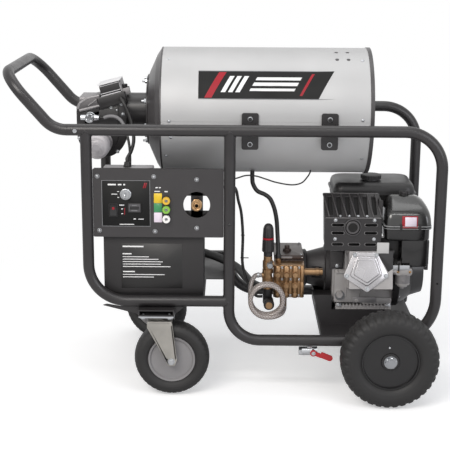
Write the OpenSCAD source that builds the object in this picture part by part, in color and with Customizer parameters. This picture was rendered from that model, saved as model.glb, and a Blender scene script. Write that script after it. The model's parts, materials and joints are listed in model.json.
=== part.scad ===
// Hot-water pressure washer on a tube cart: horizontal heater tank with a gun burner, a petrol
// engine that drives a triplex pump, a control panel, two pneumatic wheels and two swivel casters.
// X runs along the cart from the push handle (-X) to the engine end (+X), the panel faces -Y,
// Z is up from the floor, and the origin is on the floor under the middle of the machine.

/* [Cart frame] */
// Outside diameter of the frame and handle tube
tube_d = 38; // [32:1:42]
// Distance between the middle planes of the two side frames
frame_gap = 570; // [550:1:600]
// Middle of the post beside the handle
post_left_x = -452; // [-460:1:-445]
// Middle of the centre post
post_mid_x = 17; // [10:1:24]
// Middle of the post at the engine end
post_right_x = 711; // [708:1:740]
// Height of the top rail's centreline
rail_top_z = 914; // [905:1:930]
// Height of the bottom rail on the handle side
rail_left_z = 334; // [330:1:340]
// Height of the lower rail under the engine, above the rear axle
rail_rise = 32; // [31:1:36]
// Bend radius at the top corner over the engine
bend_top_r = 125; // [90:5:150]
// Bend radius behind the rear wheel
bend_rear_r = 150; // [100:5:180]
// Bend radius at the foot of the centre post
bend_low_r = 105; // [70:5:120]
// Bend radius at the foot of the left post
bend_left_r = 125; // [80:5:160]

/* [Push handle] */
// End of the top rail, where the handle plugs in
handle_joint_x = -512; // [-520:1:-505]
// Where the handle starts to climb
handle_knee_x = -556; // [-570:1:-545]
// Slope of the handle arms in degrees
handle_slope = 49; // [35:1:55]
// Run of the handle arms along the cart
handle_run = 155; // [120:1:180]
// Length of the plug inside the rail
handle_plug = 55; // [35:1:56]

/* [Heater tank] */
// Height of the tank's belly
tank_belly_z = 725; // [720:1:730]
// Outside radius of the tank wrap
tank_r = 215; // [200:1:222]
// Left end of the wrap
tank_x0 = -212; // [-220:1:-200]
// Right end of the wrap
tank_x1 = 480; // [460:1:490]
// Thickness of the wrap sheet
wrap_t = 1.5; // [1:0.1:3]
// Width of the dark rim at the right end
rim_w = 13; // [8:1:20]
// Length of the dished cone at the burner end
cone_len = 50; // [40:1:60]
// Radius of the burner flange
flange_r = 121; // [100:1:140]

/* [Burner] */
// Radius of the burner's air tube
air_tube_r = 57; // [45:1:60]
// Middle of the fan and its motor along the cart
fan_x = -431; // [-436:1:-424]
// How far the fan's axis lies below the tank's axis
fan_drop = 107; // [103:1:111]
// Radius of the fan casing's round bottom
fan_r = 86; // [82:1:88]
// Width of the fan scroll
fan_w = 112; // [90:1:130]
// Radius of the fan motor
motor_r = 41; // [35:1:42]
// Length of the fan motor
motor_len = 120; // [90:1:130]

/* [Control panel] */
// Bottom edge of the panel
panel_z0 = 556; // [550:1:560]
// Top edge of the panel
panel_z1 = 786; // [775:1:790]
// Thickness of the panel sheet
panel_t = 3; // [2:0.5:4]
// Middle of the round outlet opening along the cart
outlet_x = -91; // [-95:1:-85]
// Height of the outlet opening
outlet_z = 667; // [660:1:675]
// Radius of the outlet opening
outlet_r = 44; // [35:1:48]
// Bore radius of the outlet coupler
coupler_bore_r = 6; // [4:0.5:7]

/* [Pump] */
// Height of the shaft that joins engine and pump
shaft_z = 372; // [368:1:378]
// Left end of the pump block
pump_x0 = 170; // [165:1:175]
// Right end of the pump block
pump_x1 = 276; // [272:1:282]
// Pressure knob radius
knob_r = 18; // [14:0.5:20]
// Mean radius of the coiled bypass hose
coil_r = 56; // [50:1:60]
// Outside diameter of the bypass hose
coil_d = 16; // [12:1:16]
// Number of turns of the bypass hose
coil_turns = 2.25; // [1.25:1:2.25]
// Rise of the bypass hose for each turn
coil_pitch = 17.5; // [17:0.5:22]

/* [Engine] */
// Height of the engine's base above the floor
engine_z = 252; // [248:1:256]
// PTO face of the engine
engine_x0 = 378; // [374:1:384]
// Tilt of the cylinder above level, in degrees
cylinder_tilt = 14; // [8:1:20]
// Number of cooling fins on the cylinder
fin_count = 7; // [4:1:9]

/* [Rear wheels] */
// Outside radius of the rear tyre
wheel_r = 165; // [160:1:170]
// Width of the rear tyre
wheel_w = 106; // [90:1:110]
// Axle position along the cart
wheel_x = 553; // [545:1:560]
// Middle of each rear tyre, out from the cart's middle plane
wheel_y = 368; // [366:1:375]
// Diameter of the rear axle
axle_d = 24; // [20:1:25]
// Rim radius of the rear wheel
rim_r = 96; // [85:1:105]
// Number of tread lugs round each rear tyre
lug_count = 36; // [24:2:44]
// Depth of the tread grooves
tread_depth = 5; // [3:0.5:6]

/* [Casters] */
// Outside radius of the caster tyre
caster_r = 130; // [125:1:133]
// Width of the caster tyre
caster_w = 84; // [70:1:88]
// Swivel axis along the cart
caster_x = -225; // [-235:1:-215]
// Swivel axis out from the cart's middle plane
caster_y = 269; // [255:1:275]
// Offset of the wheel behind its swivel axis
caster_trail = 49; // [35:1:60]
// Rest angle of the far caster about its swivel axis
far_turn = 150; // [120:5:180]

/* [Hidden] */
$fn = 64;

gap = 0.3;                       // clearance between pieces that are bolted or rest together
run_fit = 0.05;                  // radial clearance of shafts that turn
frame_half = frame_gap / 2;
tube_r = tube_d / 2;
tank_z = tank_belly_z + tank_r;
fan_z = tank_z - fan_drop;
rail_low_z = wheel_r + rail_rise;
butt_d = tube_d - 0.6;           // a butted tube is a shade thinner than the one it meets
panel_x0 = post_left_x + tube_r + gap;
panel_x1 = post_mid_x - tube_r - gap;
panel_y = -frame_half - 2;       // front face of the panel
tank_x_left = tank_x0 - cone_len;
handle_top_z = rail_top_z + handle_run * tan(handle_slope);
hub_half = 34;
axle_end_y = wheel_y + hub_half + 14;

// Unit vector along v
function unit(v) = v / norm(v);

// Straight round bar from p to q
module bar(p, q, d) {
  v = q - p;
  len = norm(v);
  translate(p)
    rotate([0, acos(v[2] / len), atan2(v[1], v[0])])
      cylinder(d = d, h = len);
}

// Quarter or part bend of a round bar at corner b, coming from a and going to c
module elbow(a, b, c, r, d) {
  u = unit(a - b);
  w = unit(c - b);
  half = acos(u * w) / 2;
  centre = b + unit(u + w) * (r / sin(half));
  start = b + u * (r / tan(half));
  ex = unit(start - centre);
  ey = -u;
  ez = cross(ex, ey);
  multmatrix([[ex[0], ey[0], ez[0], centre[0]],
              [ex[1], ey[1], ez[1], centre[1]],
              [ex[2], ey[2], ez[2], centre[2]],
              [0, 0, 0, 1]])
    rotate_extrude(angle = 180 - 2 * half)
      translate([r, 0])
        circle(d = d);
}

function half_angle(a, b, c) = acos(unit(a - b) * unit(c - b)) / 2;
function cut_back(pts, radii, i) =
  (i <= 0 || i >= len(pts) - 1) ? 0
  : radii[i - 1] / tan(half_angle(pts[i - 1], pts[i], pts[i + 1]));

// Round bar through pts, bent to radii[i] at each inner corner; with neck over 0 the bends are
// drawn down by that much and the straight runs reach half a millimetre over them
module bent_bar(pts, radii, d, neck = 0) {
  over = neck > 0 ? 0.5 : 0;
  for (i = [0 : len(pts) - 2]) {
    dir = unit(pts[i + 1] - pts[i]);
    from = cut_back(pts, radii, i) - (i > 0 ? over : 0);
    to = cut_back(pts, radii, i + 1) - (i < len(pts) - 2 ? over : 0);
    bar(pts[i] + dir * from, pts[i + 1] - dir * to, d);
  }
  for (i = [1 : len(pts) - 2])
    elbow(pts[i - 1], pts[i], pts[i + 1], radii[i - 1], d - neck);
}

// Rounded rectangle, centred
module rrect(w, h, r) {
  square([w - 2 * r, h], center = true);
  square([w, h - 2 * r], center = true);
  for (sx = [-1, 1], sy = [-1, 1])
    translate([sx * (w / 2 - r), sy * (h / 2 - r)])
      circle(r = r);
}

// Round-cornered block between two X, two Z and two Y values, corners seen along Y
module block_y(x0, x1, z0, z1, y0, y1, r) {
  translate([(x0 + x1) / 2, y1, (z0 + z1) / 2])
    rotate([90, 0, 0])
      linear_extrude(y1 - y0)
        rrect(x1 - x0, z1 - z0, r);
}

// The same with its round corners seen along X
module block_x(x0, x1, z0, z1, y0, y1, r) {
  translate([x0, (y0 + y1) / 2, (z0 + z1) / 2])
    rotate([90, 0, 90])
      linear_extrude(x1 - x0)
        rrect(y1 - y0, z1 - z0, r);
}

// The same with its round corners seen along Z
module block_z(x0, x1, y0, y1, z0, z1, r) {
  translate([(x0 + x1) / 2, (y0 + y1) / 2, z0])
    linear_extrude(z1 - z0)
      rrect(x1 - x0, y1 - y0, r);
}

// Side profile in X and Z, pulled along Y
module profile_y(pts, y0, y1) {
  translate([0, y1, 0])
    rotate([90, 0, 0])
      linear_extrude(y1 - y0)
        polygon(pts);
}

module cyl_x(x0, x1, y, z, d) {
  translate([x0, y, z])
    rotate([0, 90, 0])
      cylinder(d = d, h = x1 - x0);
}

module cyl_y(x, z, y0, y1, d) {
  translate([x, y1, z])
    rotate([90, 0, 0])
      cylinder(d = d, h = y1 - y0);
}

module cyl_z(x, y, z0, z1, d) {
  translate([x, y, z0])
    cylinder(d = d, h = z1 - z0);
}

// Hexagon along Y, size over flats af
module hex_y(x, z, y0, y1, af) {
  translate([x, y1, z])
    rotate([90, 0, 0])
      cylinder(d = af / cos(30), h = y1 - y0, $fn = 6);
}

// Mirror a near-side piece to the far side as well
module both_sides() {
  children();
  mirror([0, 1, 0])
    children();
}

// Tube of n sides swept along the points p, radius r
function frame_at(p, i) =
  let (a = p[max(i - 1, 0)], b = p[min(i + 1, len(p) - 1)])
  unit(b - a);
function side_of(t, up) = unit(cross(t, up));
module sweep(p, r, n, up = [0, 0, 1]) {
  rings = [for (i = [0 : len(p) - 1])
    let (t = frame_at(p, i), s = side_of(t, up), v = cross(s, t))
    for (k = [0 : n - 1]) p[i] + r * (s * cos(360 * k / n) + v * sin(360 * k / n))];
  m = len(p);
  walls = [for (i = [0 : m - 2], k = [0 : n - 1])
    let (a = i * n + k, b = i * n + (k + 1) % n)
    each [[a, b, b + n], [a, b + n, a + n]]];
  ends = [
    for (k = [1 : n - 2]) [0, k + 1, k],
    for (k = [1 : n - 2]) [(m - 1) * n, (m - 1) * n + k, (m - 1) * n + k + 1]];
  polyhedron(rings, concat(walls, ends));
}

// ---- Cart frame ----

// One welded side frame: the closed engine loop and the left loop that butts on its centre post
module side_frame(s) {
  y = s * frame_half;
  difference() {
    union() {
      bent_bar([[handle_joint_x, y, rail_top_z], [post_right_x, y, rail_top_z],
                [post_right_x, y, rail_low_z], [post_mid_x, y, rail_low_z],
                [post_mid_x, y, post_top_z]],
               [bend_top_r, bend_rear_r, bend_low_r], tube_d);
      bent_bar([[post_left_x, y, post_top_z], [post_left_x, y, rail_left_z],
                [post_mid_x, y, rail_left_z]], [bend_left_r], butt_d);
      // Lugs that carry the rear axle under the lower rail
      block_y(wheel_x - 28, wheel_x + 28, axle_lug_z0, rail_low_z - tube_r + 4,
              y - 14, y + 14, 6);
    }
    cyl_y(wheel_x, wheel_r, y - 20, y + 20, axle_d + 2 * run_fit);
    // Socket for the handle plug
    cyl_x(handle_joint_x - 1, handle_joint_x + handle_plug + 2, y, rail_top_z, plug_d + 0.4);
    // Spare bolt holes that stay open in the posts
    for (h = [[post_mid_x, 604], [post_right_x, 407]])
      cyl_y(h[0], h[1], y - tube_r - 1, y + tube_r + 1, 7);
    cyl_y(handle_bolt_x, rail_top_z, y - tube_r - 1, y + tube_r + 1, 8.4);
  }
}
post_top_z = rail_top_z - 4;
axle_lug_z0 = wheel_r - axle_d / 2 - 6;
plug_d = tube_d - 6;
handle_bolt_x = handle_joint_x + 28;

module side_frame_near() {
  color("#3a3839") side_frame(-1);
}

module side_frame_far() {
  color("#3a3839") side_frame(1);
}

// U-shaped push handle with a plug on each arm
module push_handle() {
  x1 = handle_joint_x - gap;
  x3 = handle_knee_x - handle_run;
  y = frame_half;
  color("#454344")
    difference() {
      union() {
        bent_bar([[x1, -y, rail_top_z], [handle_knee_x, -y, rail_top_z], [x3, -y, handle_top_z],
                  [x3, y, handle_top_z], [handle_knee_x, y, rail_top_z], [x1, y, rail_top_z]],
                 [90, 95, 95, 90], tube_d, 0.3);
        for (s = [-1, 1])
          cyl_x(x1 - 1, handle_joint_x + handle_plug, s * y, rail_top_z, plug_d);
      }
      for (s = [-1, 1])
        cyl_y(handle_bolt_x, rail_top_z, s * y - tube_r - 1, s * y + tube_r + 1, 8.4);
    }
}

// Carriage bolts through rail and handle plug
module handle_bolts() {
  color("#b8babc")
    for (s = [-1, 1]) {
      y = s * frame_half;
      cyl_y(handle_bolt_x, rail_top_z, y - tube_r - 3, y + tube_r + 3, 8);
      hex_y(handle_bolt_x, rail_top_z, y + s * (tube_r + gap) - (s < 0 ? 6 : 0),
            y + s * (tube_r + gap) + (s < 0 ? 0 : 6), 13);
      hex_y(handle_bolt_x, rail_top_z, y - s * (tube_r + gap) - (s > 0 ? 6 : 0),
            y - s * (tube_r + gap) + (s > 0 ? 0 : 6), 13);
    }
}

// Box crossmember under the left rails, with a tapered apron over each caster
cross_z1 = rail_left_z - tube_r - gap;
cross_z0 = cross_z1 - 22;
mount_w = 120;
mount_t = 6;
mount_z0 = cross_z0 - mount_t;
bolt_pitch = 88;
module caster_crossmember() {
  y1 = caster_y + mount_w / 2;
  color("#333132") {
    difference() {
      translate([caster_x - mount_w / 2, -y1, cross_z0])
        cube([mount_w, 2 * y1, cross_z1 - cross_z0]);
      translate([caster_x - mount_w / 2 + 4, -y1 - 1, cross_z0 + 4])
        cube([mount_w - 8, 2 * y1 + 2, cross_z1 - cross_z0 - 8]);
      for (s = [-1, 1], dx = [-1, 1], dy = [-1, 1])
        cyl_z(caster_x + dx * bolt_pitch / 2, s * caster_y + dy * bolt_pitch / 2,
              cross_z0 - 1, cross_z0 + 5, 11);
    }
    both_sides()
      profile_y([[caster_x - 182, cross_z1 + 3], [caster_x - mount_w / 2 - 1, cross_z0 - 6],
                 [caster_x - mount_w / 2 - 1, cross_z0], [caster_x + mount_w / 2 + 1, cross_z0],
                 [caster_x + mount_w / 2 + 1, cross_z0 - 5], [caster_x + 92, cross_z1 - 0.3],
                 [caster_x - 125, cross_z1 - 0.3], [caster_x - 170, cross_z1 + 7]],
                -frame_half - 3, -frame_half + 3);
  }
}

// Swivel plates of the casters, each with its kingpin and four bolts
module caster_mounts() {
  color("#b5b7ba")
    for (s = [-1, 1])
      translate([caster_x, s * caster_y, 0]) {
        block_z(-mount_w / 2, mount_w / 2, -mount_w / 2, mount_w / 2, mount_z0,
                mount_z0 + mount_t - gap, 8);
        for (dx = [-1, 1], dy = [-1, 1]) {
          cyl_z(dx * bolt_pitch / 2, dy * bolt_pitch / 2, mount_z0 - 1, cross_z0 + 6, 10);
          translate([dx * bolt_pitch / 2, dy * bolt_pitch / 2, mount_z0 - 6.5])
            cylinder(d = 17 / cos(30), h = 7, $fn = 6);
        }
        cyl_z(0, 0, crown_z0 - gap - 1, mount_z0 + 1, pin_d);
        translate([0, 0, crown_z0 - gap - 5])
          cylinder(d = 24 / cos(30), h = 5, $fn = 6);
      }
}
crown_z0 = 2 * caster_r + 6;
crown_t = 6;
pin_d = 16;

// Floor tray between the left rails
module tank_tray() {
  y1 = frame_half - tube_r - gap;
  color("#2b292a")
    difference() {
      union() {
        translate([tray_x0, -y1, tray_z0])
          cube([tank_fx1 - tray_x0 + 4, 2 * y1, tray_t]);
        translate([tray_x0, -30, tray_z0])
          cube([panel_x1 - tray_x0, y1 + 30, tray_t]);
        translate([inlet_x - 35, y1 - 3, tray_z0])
          cube([70, 3, 70]);
      }
      cyl_y(inlet_x, inlet_z, y1 - 4, y1 + 1, 27);
    }
}
tray_t = 3;
tray_z0 = rail_left_z - tray_t / 2;
inlet_x = -150;
inlet_z = 380;
tray_x0 = post_left_x + 60;

module rear_axle() {
  color("#8d8f92")
    {
      cyl_y(wheel_x, wheel_r, -axle_end_y, axle_end_y, axle_d);
      both_sides() {
        cyl_y(wheel_x, wheel_r, -wheel_y + hub_half + gap, -frame_half - 14 - gap, 32);
        cyl_y(wheel_x, wheel_r, -wheel_y - hub_half - gap - 2.5, -wheel_y - hub_half - gap, 44);
        hex_y(wheel_x, wheel_r, -wheel_y - hub_half - gap - 12, -wheel_y - hub_half - gap - 2, 34);
      }
    }
}

// Deck between the lower rails and the tapered stand that carries engine and pump
deck_t = 5;
deck_z0 = rail_low_z - deck_t / 2;
stand_y = 118;
stand_x1 = 588;
module engine_deck() {
  y1 = frame_half - tube_r - gap;
  z0 = deck_z0 + deck_t - 1;
  rise_x = engine_x0 - gap;
  outer = [[342, z0], [312, shaft_z - 66], [rise_x, shaft_z - 66], [rise_x, engine_z - gap],
           [stand_x1, engine_z - gap], [stand_x1, z0]];
  inner = [[347, z0 - 2], [318, shaft_z - 71], [rise_x - 5, shaft_z - 71],
           [rise_x - 5, engine_z - 5 - gap], [stand_x1 + 1, engine_z - 5 - gap], [stand_x1 + 1, z0 - 2]];
  color("#2f2d2e") {
    translate([335, -y1, deck_z0])
      cube([340, 2 * y1, deck_t]);
    for (x = [335, 669])
      translate([x, -y1, deck_z0 - 20])
        cube([6, 2 * y1, 21]);
    difference() {
      profile_y(outer, -stand_y, stand_y);
      profile_y(inner, -stand_y + 4, stand_y - 4);
      // Cradle for the bell housing
      cyl_x(280, engine_x0 + 1, 0, shaft_z, 2 * (bell_r + 1));
    }
  }
}
bell_r = 86;

// ---- Heater ----

module tank_brackets() {
  color("#3b393a")
    both_sides()
      for (x = [83, 346]) {
        difference() {
          block_y(x - 28, x + 28, tank_z - 100, tank_z + 22, -tank_r - gap - 5, -tank_r - gap, 8);
          for (z = [tank_z - 82, tank_z + 2])
            cyl_y(x, z, -tank_r - 8, -tank_r + 1, 9);
        }
        for (dx = [-24, 20])
          translate([x + dx, -frame_half + tube_r + gap, rail_top_z - 12])
            cube([4, frame_half - tube_r - tank_r - 2 * gap - 4, 24]);
        for (z = [tank_z - 82, tank_z + 2]) {
          cyl_y(x, z, -tank_r - gap - 5 - 6, -tank_r - gap - 5 - gap, 12);
          cyl_y(x, z, -tank_r - gap - 6, -tank_r - gap, 8);
        }
      }
}

// Half of the bright wrap, s = 1 for the top
module wrap_half(s) {
  split_z = tank_z - 8;
  difference() {
    cyl_x(tank_x0, tank_x1, 0, tank_z, 2 * tank_r);
    cyl_x(tank_x0 - 1, tank_x1 + 1, 0, tank_z, 2 * (tank_r - wrap_t));
    translate([tank_x0 - 1, -tank_r - 1, s > 0 ? split_z - 400 : split_z - gap])
      cube([tank_x1 - tank_x0 + 2, 2 * tank_r + 2, 400]);
    if (s > 0)
      for (dx = [107, 69], y = [-106, -61])
        translate([tank_x1 - dx, y, tank_z])
          cylinder(d = 13, h = 300);
  }
}

module heater_shell_upper() {
  color("#b9bbbd") wrap_half(1);
}

module heater_shell_lower() {
  color("#9d9fa2") wrap_half(-1);
}

// Inner drum with the dished burner end on the left and the dark rim on the right; it is hollow,
// and the burner's air tube reaches in through its throat
drum_wall = 6;
throat_r = air_tube_r + 1;
module heater_drum() {
  r = tank_r - wrap_t - gap;
  w = drum_wall;
  color("#2c2b2c")
    translate([0, 0, tank_z])
      rotate([0, 90, 0])
        rotate_extrude($fn = 96)
          polygon([[throat_r, tank_x_left], [flange_r + 4, tank_x_left],
                   [flange_r + 12, tank_x_left + 3], [tank_r - 26, tank_x0 - 22],
                   [tank_r - 6, tank_x0 - 9], [tank_r, tank_x0 - 6], [tank_r, tank_x0 - gap],
                   [r, tank_x0 - gap], [r, tank_x1 + gap], [tank_r + 2, tank_x1 + gap],
                   [tank_r + 2, tank_x1 + rim_w], [tank_r - 4, tank_x1 + rim_w],
                   [tank_r - 8, tank_x1 + rim_w - 6], [0, tank_x1 + rim_w - 6],
                   [0, tank_x1 + rim_w - 6 - w], [r - w, tank_x1 + rim_w - 6 - w],
                   [r - w, tank_x0], [flange_r + 6, tank_x_left + w], [throat_r, tank_x_left + w]]);
}

module burner_flange() {
  x1 = tank_x_left - gap;
  color("#4a4849") {
    difference() {
      cyl_x(x1 - 6, x1, 0, tank_z, 2 * flange_r);
      cyl_x(x1 - 7, x1 + 1, 0, tank_z, 2 * throat_r);
    }
    for (a = [22.5 : 45 : 360])
      translate([x1 - 6 - 5, (flange_r - 10) * cos(a), tank_z + (flange_r - 10) * sin(a)])
        rotate([0, 90, 0])
          cylinder(d = 15, h = 5.5, $fn = 6);
  }
}

// Casing of the fan, round at the bottom and set off the fan's axis, with its throat on top
module burner_housing() {
  cx = fan_x + 6;
  cz = fan_z + 31;
  color("#2a292a") {
    cyl_y(cx, cz, -fan_w / 2, fan_w / 2, 2 * fan_r);
    // Throat from the casing into the air tube
    profile_y([[cx - fan_r, cz - 12], [cx - fan_r, tank_z + 10], [cx + fan_r - 34, tank_z + 44],
               [cx + fan_r, tank_z + 40], [cx + fan_r, cz - 4]], -fan_w / 2, fan_w / 2);
    cyl_x(cx + fan_r - 6, tank_x_left + 30, 0, tank_z, 2 * air_tube_r);
    // Sloping deck over the throat
    translate([-516, -70, tank_z - 10])
      rotate([0, -15, 0])
        translate([0, 0, -4])
          cube([188, 140, 38]);
  }
}

module burner_motor() {
  y1 = -fan_w / 2 - gap;
  y0 = y1 - motor_len;
  color("#c9c9c8") {
    cyl_y(fan_x, fan_z, y0 + 14, y1 - 12, 2 * motor_r);
    cyl_y(fan_x, fan_z, y1 - 14, y1, 2 * motor_r + 8);
    translate([fan_x, y0 + 14, fan_z])
      rotate([90, 0, 0])
        cylinder(r1 = motor_r, r2 = motor_r - 16, h = 12);
    cyl_y(fan_x, fan_z, y0, y0 + 14, 26);
  }
}

module ignition_box() {
  color("#58575a")
    translate([-423, -62, tank_z + 50.5])
      rotate([0, -15, 0]) {
        cube([68, 100, 36]);
        translate([-4, -4, 35.9])
          cube([80, 108, 5]);
        translate([67, 10, 0])
          cube([6, 80, 38]);
      }
}

module fuel_pump() {
  y0 = -fan_w / 2 - gap - 44;
  color("#c4c6c8") {
    cyl_y(-462, fuel_pump_z, y0, y0 + 44, 32);
    cyl_x(-494, -438, y0 + 18, fuel_pump_z, 20);
    cyl_x(-439, -428, y0 + 18, fuel_pump_z, 12);
  }
}
fuel_pump_z = fan_z + 89;

burner_hose_pts = [[-427.7, -82.3, fuel_pump_z], [-414, -82.3, fuel_pump_z],
  [-392, -86, fuel_pump_z + 6], [-368, -92, fuel_pump_z + 2], [-348, -100, fuel_pump_z - 16],
  [-334, -110, 870], [-324, -130, 830], [-320, -160, 790], [-320, -182, 740], [-320, -190, 690], [-320, -190, 620], [-320, -190, 566], [-320, -190, 549]];

module burner_fuel_hose() {
  color("#1f1e1f")
    sweep(burner_hose_pts, 4.5, 8, [0, 1, 0]);
}

cable_pts = [[-356, -70.4, tank_z + 48], [-356, -84, tank_z + 48], [-344, -98, tank_z + 34],
  [-326, -106, tank_z - 4], [-314, -116, 896], [-308, -146, 856], [-312, -196, 830], [-322, -236, 812], [-322, -240, 804],
  [-322, -240, 796]];

// Mains lead of the burner and the gland where it enters the enclosure
module burner_cable() {
  color("#232223") {
    sweep(cable_pts, 6, 10, [1, 0, 0]);
    cyl_z(-322, -240, panel_z1 - 3 + gap, 800, 27);
  }
}

// ---- Control panel ----

module control_panel() {
  y0 = panel_y;
  color("#413f40")
    difference() {
      union() {
        block_y(panel_x0, panel_x1, panel_z0, panel_z1, y0, y0 + panel_t, 4);
        translate([panel_x0 + 4, y0 + 1, panel_z1 - 3])
          cube([panel_x1 - panel_x0 - 8, 16, 3]);
        translate([panel_x0 + 4, y0 + 1, panel_z0])
          cube([panel_x1 - panel_x0 - 8, 16, 3]);
      }
      cyl_y(outlet_x, outlet_z, y0 - 1, y0 + panel_t + 1, 2 * outlet_r);
      for (z = nozzle_zs)
        cyl_y(nozzle_x, z, y0 - 1, y0 + panel_t + 1, 24);
      cyl_y(key_x, key_z, y0 - 1, y0 + panel_t + 1, 22);
      block_y(rocker_x - 12, rocker_x + 12, rocker_z - 19, rocker_z + 19, y0 - 1, y0 + panel_t + 1, 2);
      for (p = screw_pts)
        cyl_y(p[0], p[1], y0 - 1, y0 + panel_t + 1, 6.6);
    }
  color("#c8c8c8")
    for (p = screw_pts) {
      cyl_y(p[0], p[1], y0 - 3.4, y0 - gap, 12);
      cyl_y(p[0], p[1], y0 - 1, y0 + panel_t + 6, 6);
    }
}
screw_pts = [[-417, 761], [-232, 761], [outlet_x, 752], [-413, 578], [-229, 576], [outlet_x, 588]];
nozzle_x = -191;
nozzle_zs = [682, 652, 620];
key_x = -325;
key_z = 701;
rocker_x = -366;
rocker_z = 647;

// Steel box behind the left half of the panel
module control_enclosure() {
  y0 = panel_y + 17 + gap;
  color("#b9b9bb")
    block_y(-402, -236, panel_z0 + 4, panel_z1 - 3, y0, y0 + 66, 5);
}

module key_switch() {
  color("#b4b4b6") {
    cyl_y(key_x, key_z, panel_y - 6, panel_y - gap, 37);
    cyl_y(key_x, key_z, panel_y - 14, panel_y - 5, 26);
    cyl_y(key_x, key_z, panel_y - 2, panel_y + 16, 21.8);
    translate([key_x - 1.4, panel_y - 34, key_z - 10])
      cube([2.8, 22, 20]);
  }
}

module rocker_switch() {
  color("#1b1a1a")
    translate([rocker_x, panel_y + 1, rocker_z])
      rotate([0, 90, 0])
        translate([0, 0, -11.5])
          linear_extrude(23)
            polygon([[-17.5, -8], [0, -4.5], [17.5, -4], [18, 4], [-18, 4]]);
}

module hour_meter() {
  color("#2a2a2b")
    block_y(-318, -274, 640, 672, panel_y - 5, panel_y - gap, 4);
}

// Rubber grommets that hold the spray tips
module nozzle_rack() {
  color("#1d1c1d")
    for (z = nozzle_zs)
      difference() {
        union() {
          cyl_y(nozzle_x, z, panel_y - 2.4, panel_y - gap, 29);
          cyl_y(nozzle_x, z, panel_y - 1, panel_y + panel_t + 10, 23.4);
        }
        cyl_y(nozzle_x, z, panel_y - 4, panel_y + panel_t + 12, 14.4);
      }
}

// Quick-connect spray tip with its coloured collar
module spray_tip(z) {
  difference() {
    union() {
      cyl_y(nozzle_x, z, panel_y - 15, panel_y - 2.4 - gap, 26);
      cyl_y(nozzle_x, z, panel_y - 4, panel_y + 22, 14);
    }
    cyl_y(nozzle_x, z, panel_y - 16, panel_y - 9, 11);
    cyl_y(nozzle_x, z, panel_y - 16, panel_y + 23, 4);
  }
}

module nozzle_15() {
  color("#e6c23a") spray_tip(nozzle_zs[0]);
}

module nozzle_25() {
  color("#7cb845") spray_tip(nozzle_zs[1]);
}

module nozzle_40() {
  color("#f2efe9") spray_tip(nozzle_zs[2]);
}

// Folded strip behind the opening, with the outlet coupler
module outlet_bracket() {
  y0 = panel_y + panel_t + gap;
  color("#3a3839")
    difference() {
      translate([outlet_x - 20, 0, 0])
        rotate([90, 0, 90])
          linear_extrude(40)
            polygon([[y0, 575], [y0, 601], [y0 + 20, 606], [y0 + 20, 734], [y0, 739], [y0, 765],
                     [y0 + 3, 765], [y0 + 3, 742], [y0 + 23, 737], [y0 + 23, 603],
                     [y0 + 3, 598], [y0 + 3, 575]]);
      cyl_y(outlet_x, outlet_z, y0, y0 + 30, 16.4);
      for (z = [752, 588])
        cyl_y(outlet_x, z, y0 - 1, y0 + 5, 6.6);
    }
  // Plates on the back of the strip that close the opening above and below the coupler
  color("#3a3839")
    for (z = [608, 692])
      translate([outlet_x - 42, y0 + 23 + gap, z])
        cube([84, 3, 34]);
  color("#b08a4a")
    difference() {
      union() {
        cyl_y(outlet_x, outlet_z, y0 - 18, y0 + 20 - gap, 22);
        cyl_y(outlet_x, outlet_z, y0 + 19, y0 + 24, 16);
        hex_y(outlet_x, outlet_z, y0 + 23 + gap, y0 + 38, 24);
        cyl_y(outlet_x, outlet_z, y0 + 37, y0 + 50, 20);
      }
      cyl_y(outlet_x, outlet_z, y0 - 19, y0 + 51, 2 * coupler_bore_r);
    }
}

module coupler_sleeve() {
  y0 = panel_y + panel_t + gap;
  color("#c59a52")
    difference() {
      cyl_y(outlet_x, outlet_z, y0 - 20, y0 + 8, 36);
      cyl_y(outlet_x, outlet_z, y0 - 21, y0 + 9, 22 + 2 * run_fit);
    }
}

// ---- Burner fuel tank ----
tank_fx0 = -403;
tank_fx1 = -69;
fuel_tank_z0 = tray_z0 + tray_t + gap;

module burner_fuel_tank() {
  y0 = fuel_tank_y0;
  color("#242324")
    difference() {
      union() {
        block_y(tank_fx0 + 6, tank_fx1 - 2, fuel_tank_z0, panel_z0 - 8, y0, y0 + 260, 16);
        cyl_z(-340, y0 + 210, panel_z0 - 10, panel_z0 + 14, 62);
      }
    }
  color("#2c2a2b")
    block_y(tank_fx0, tank_fx1, rail_left_z + tube_r + 2, panel_z0 - 3, y0 - 2 - gap, y0 - gap, 3);
}

fuel_tank_y0 = -frame_half + tube_r + gap + 2.6;
module burner_fuel_cap() {
  y0 = fuel_tank_y0;
  color("#1a1a1a")
    difference() {
      cyl_z(-340, y0 + 210, panel_z0 + 14 + gap, panel_z0 + 34, 74);
      for (a = [0 : 30 : 330])
        translate([-340 + 39 * cos(a), y0 + 210 + 39 * sin(a), panel_z0 + 12])
          cylinder(d = 9, h = 24);
    }
}

// ---- Pump ----
pump_y = -60;
mani_y0 = -185;
mani_y1 = -118;

module pump_crankcase() {
  color("#4b3f3c") {
    difference() {
      block_x(pump_x0 + 8, pump_x1, shaft_z - 62, shaft_z + 80, mani_y1, 52, 22);
      for (x = [pump_x0 + 30 : 22 : pump_x1 - 20])
        translate([x, mani_y1 - 1, shaft_z + 62])
          cube([3, 40, 12]);
    }
    cyl_z(220, -60, shaft_z + 78, shaft_z + 88, 26);
    cyl_z(220, -60, shaft_z + 86, shaft_z + 100, 18);
  }
}

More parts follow.
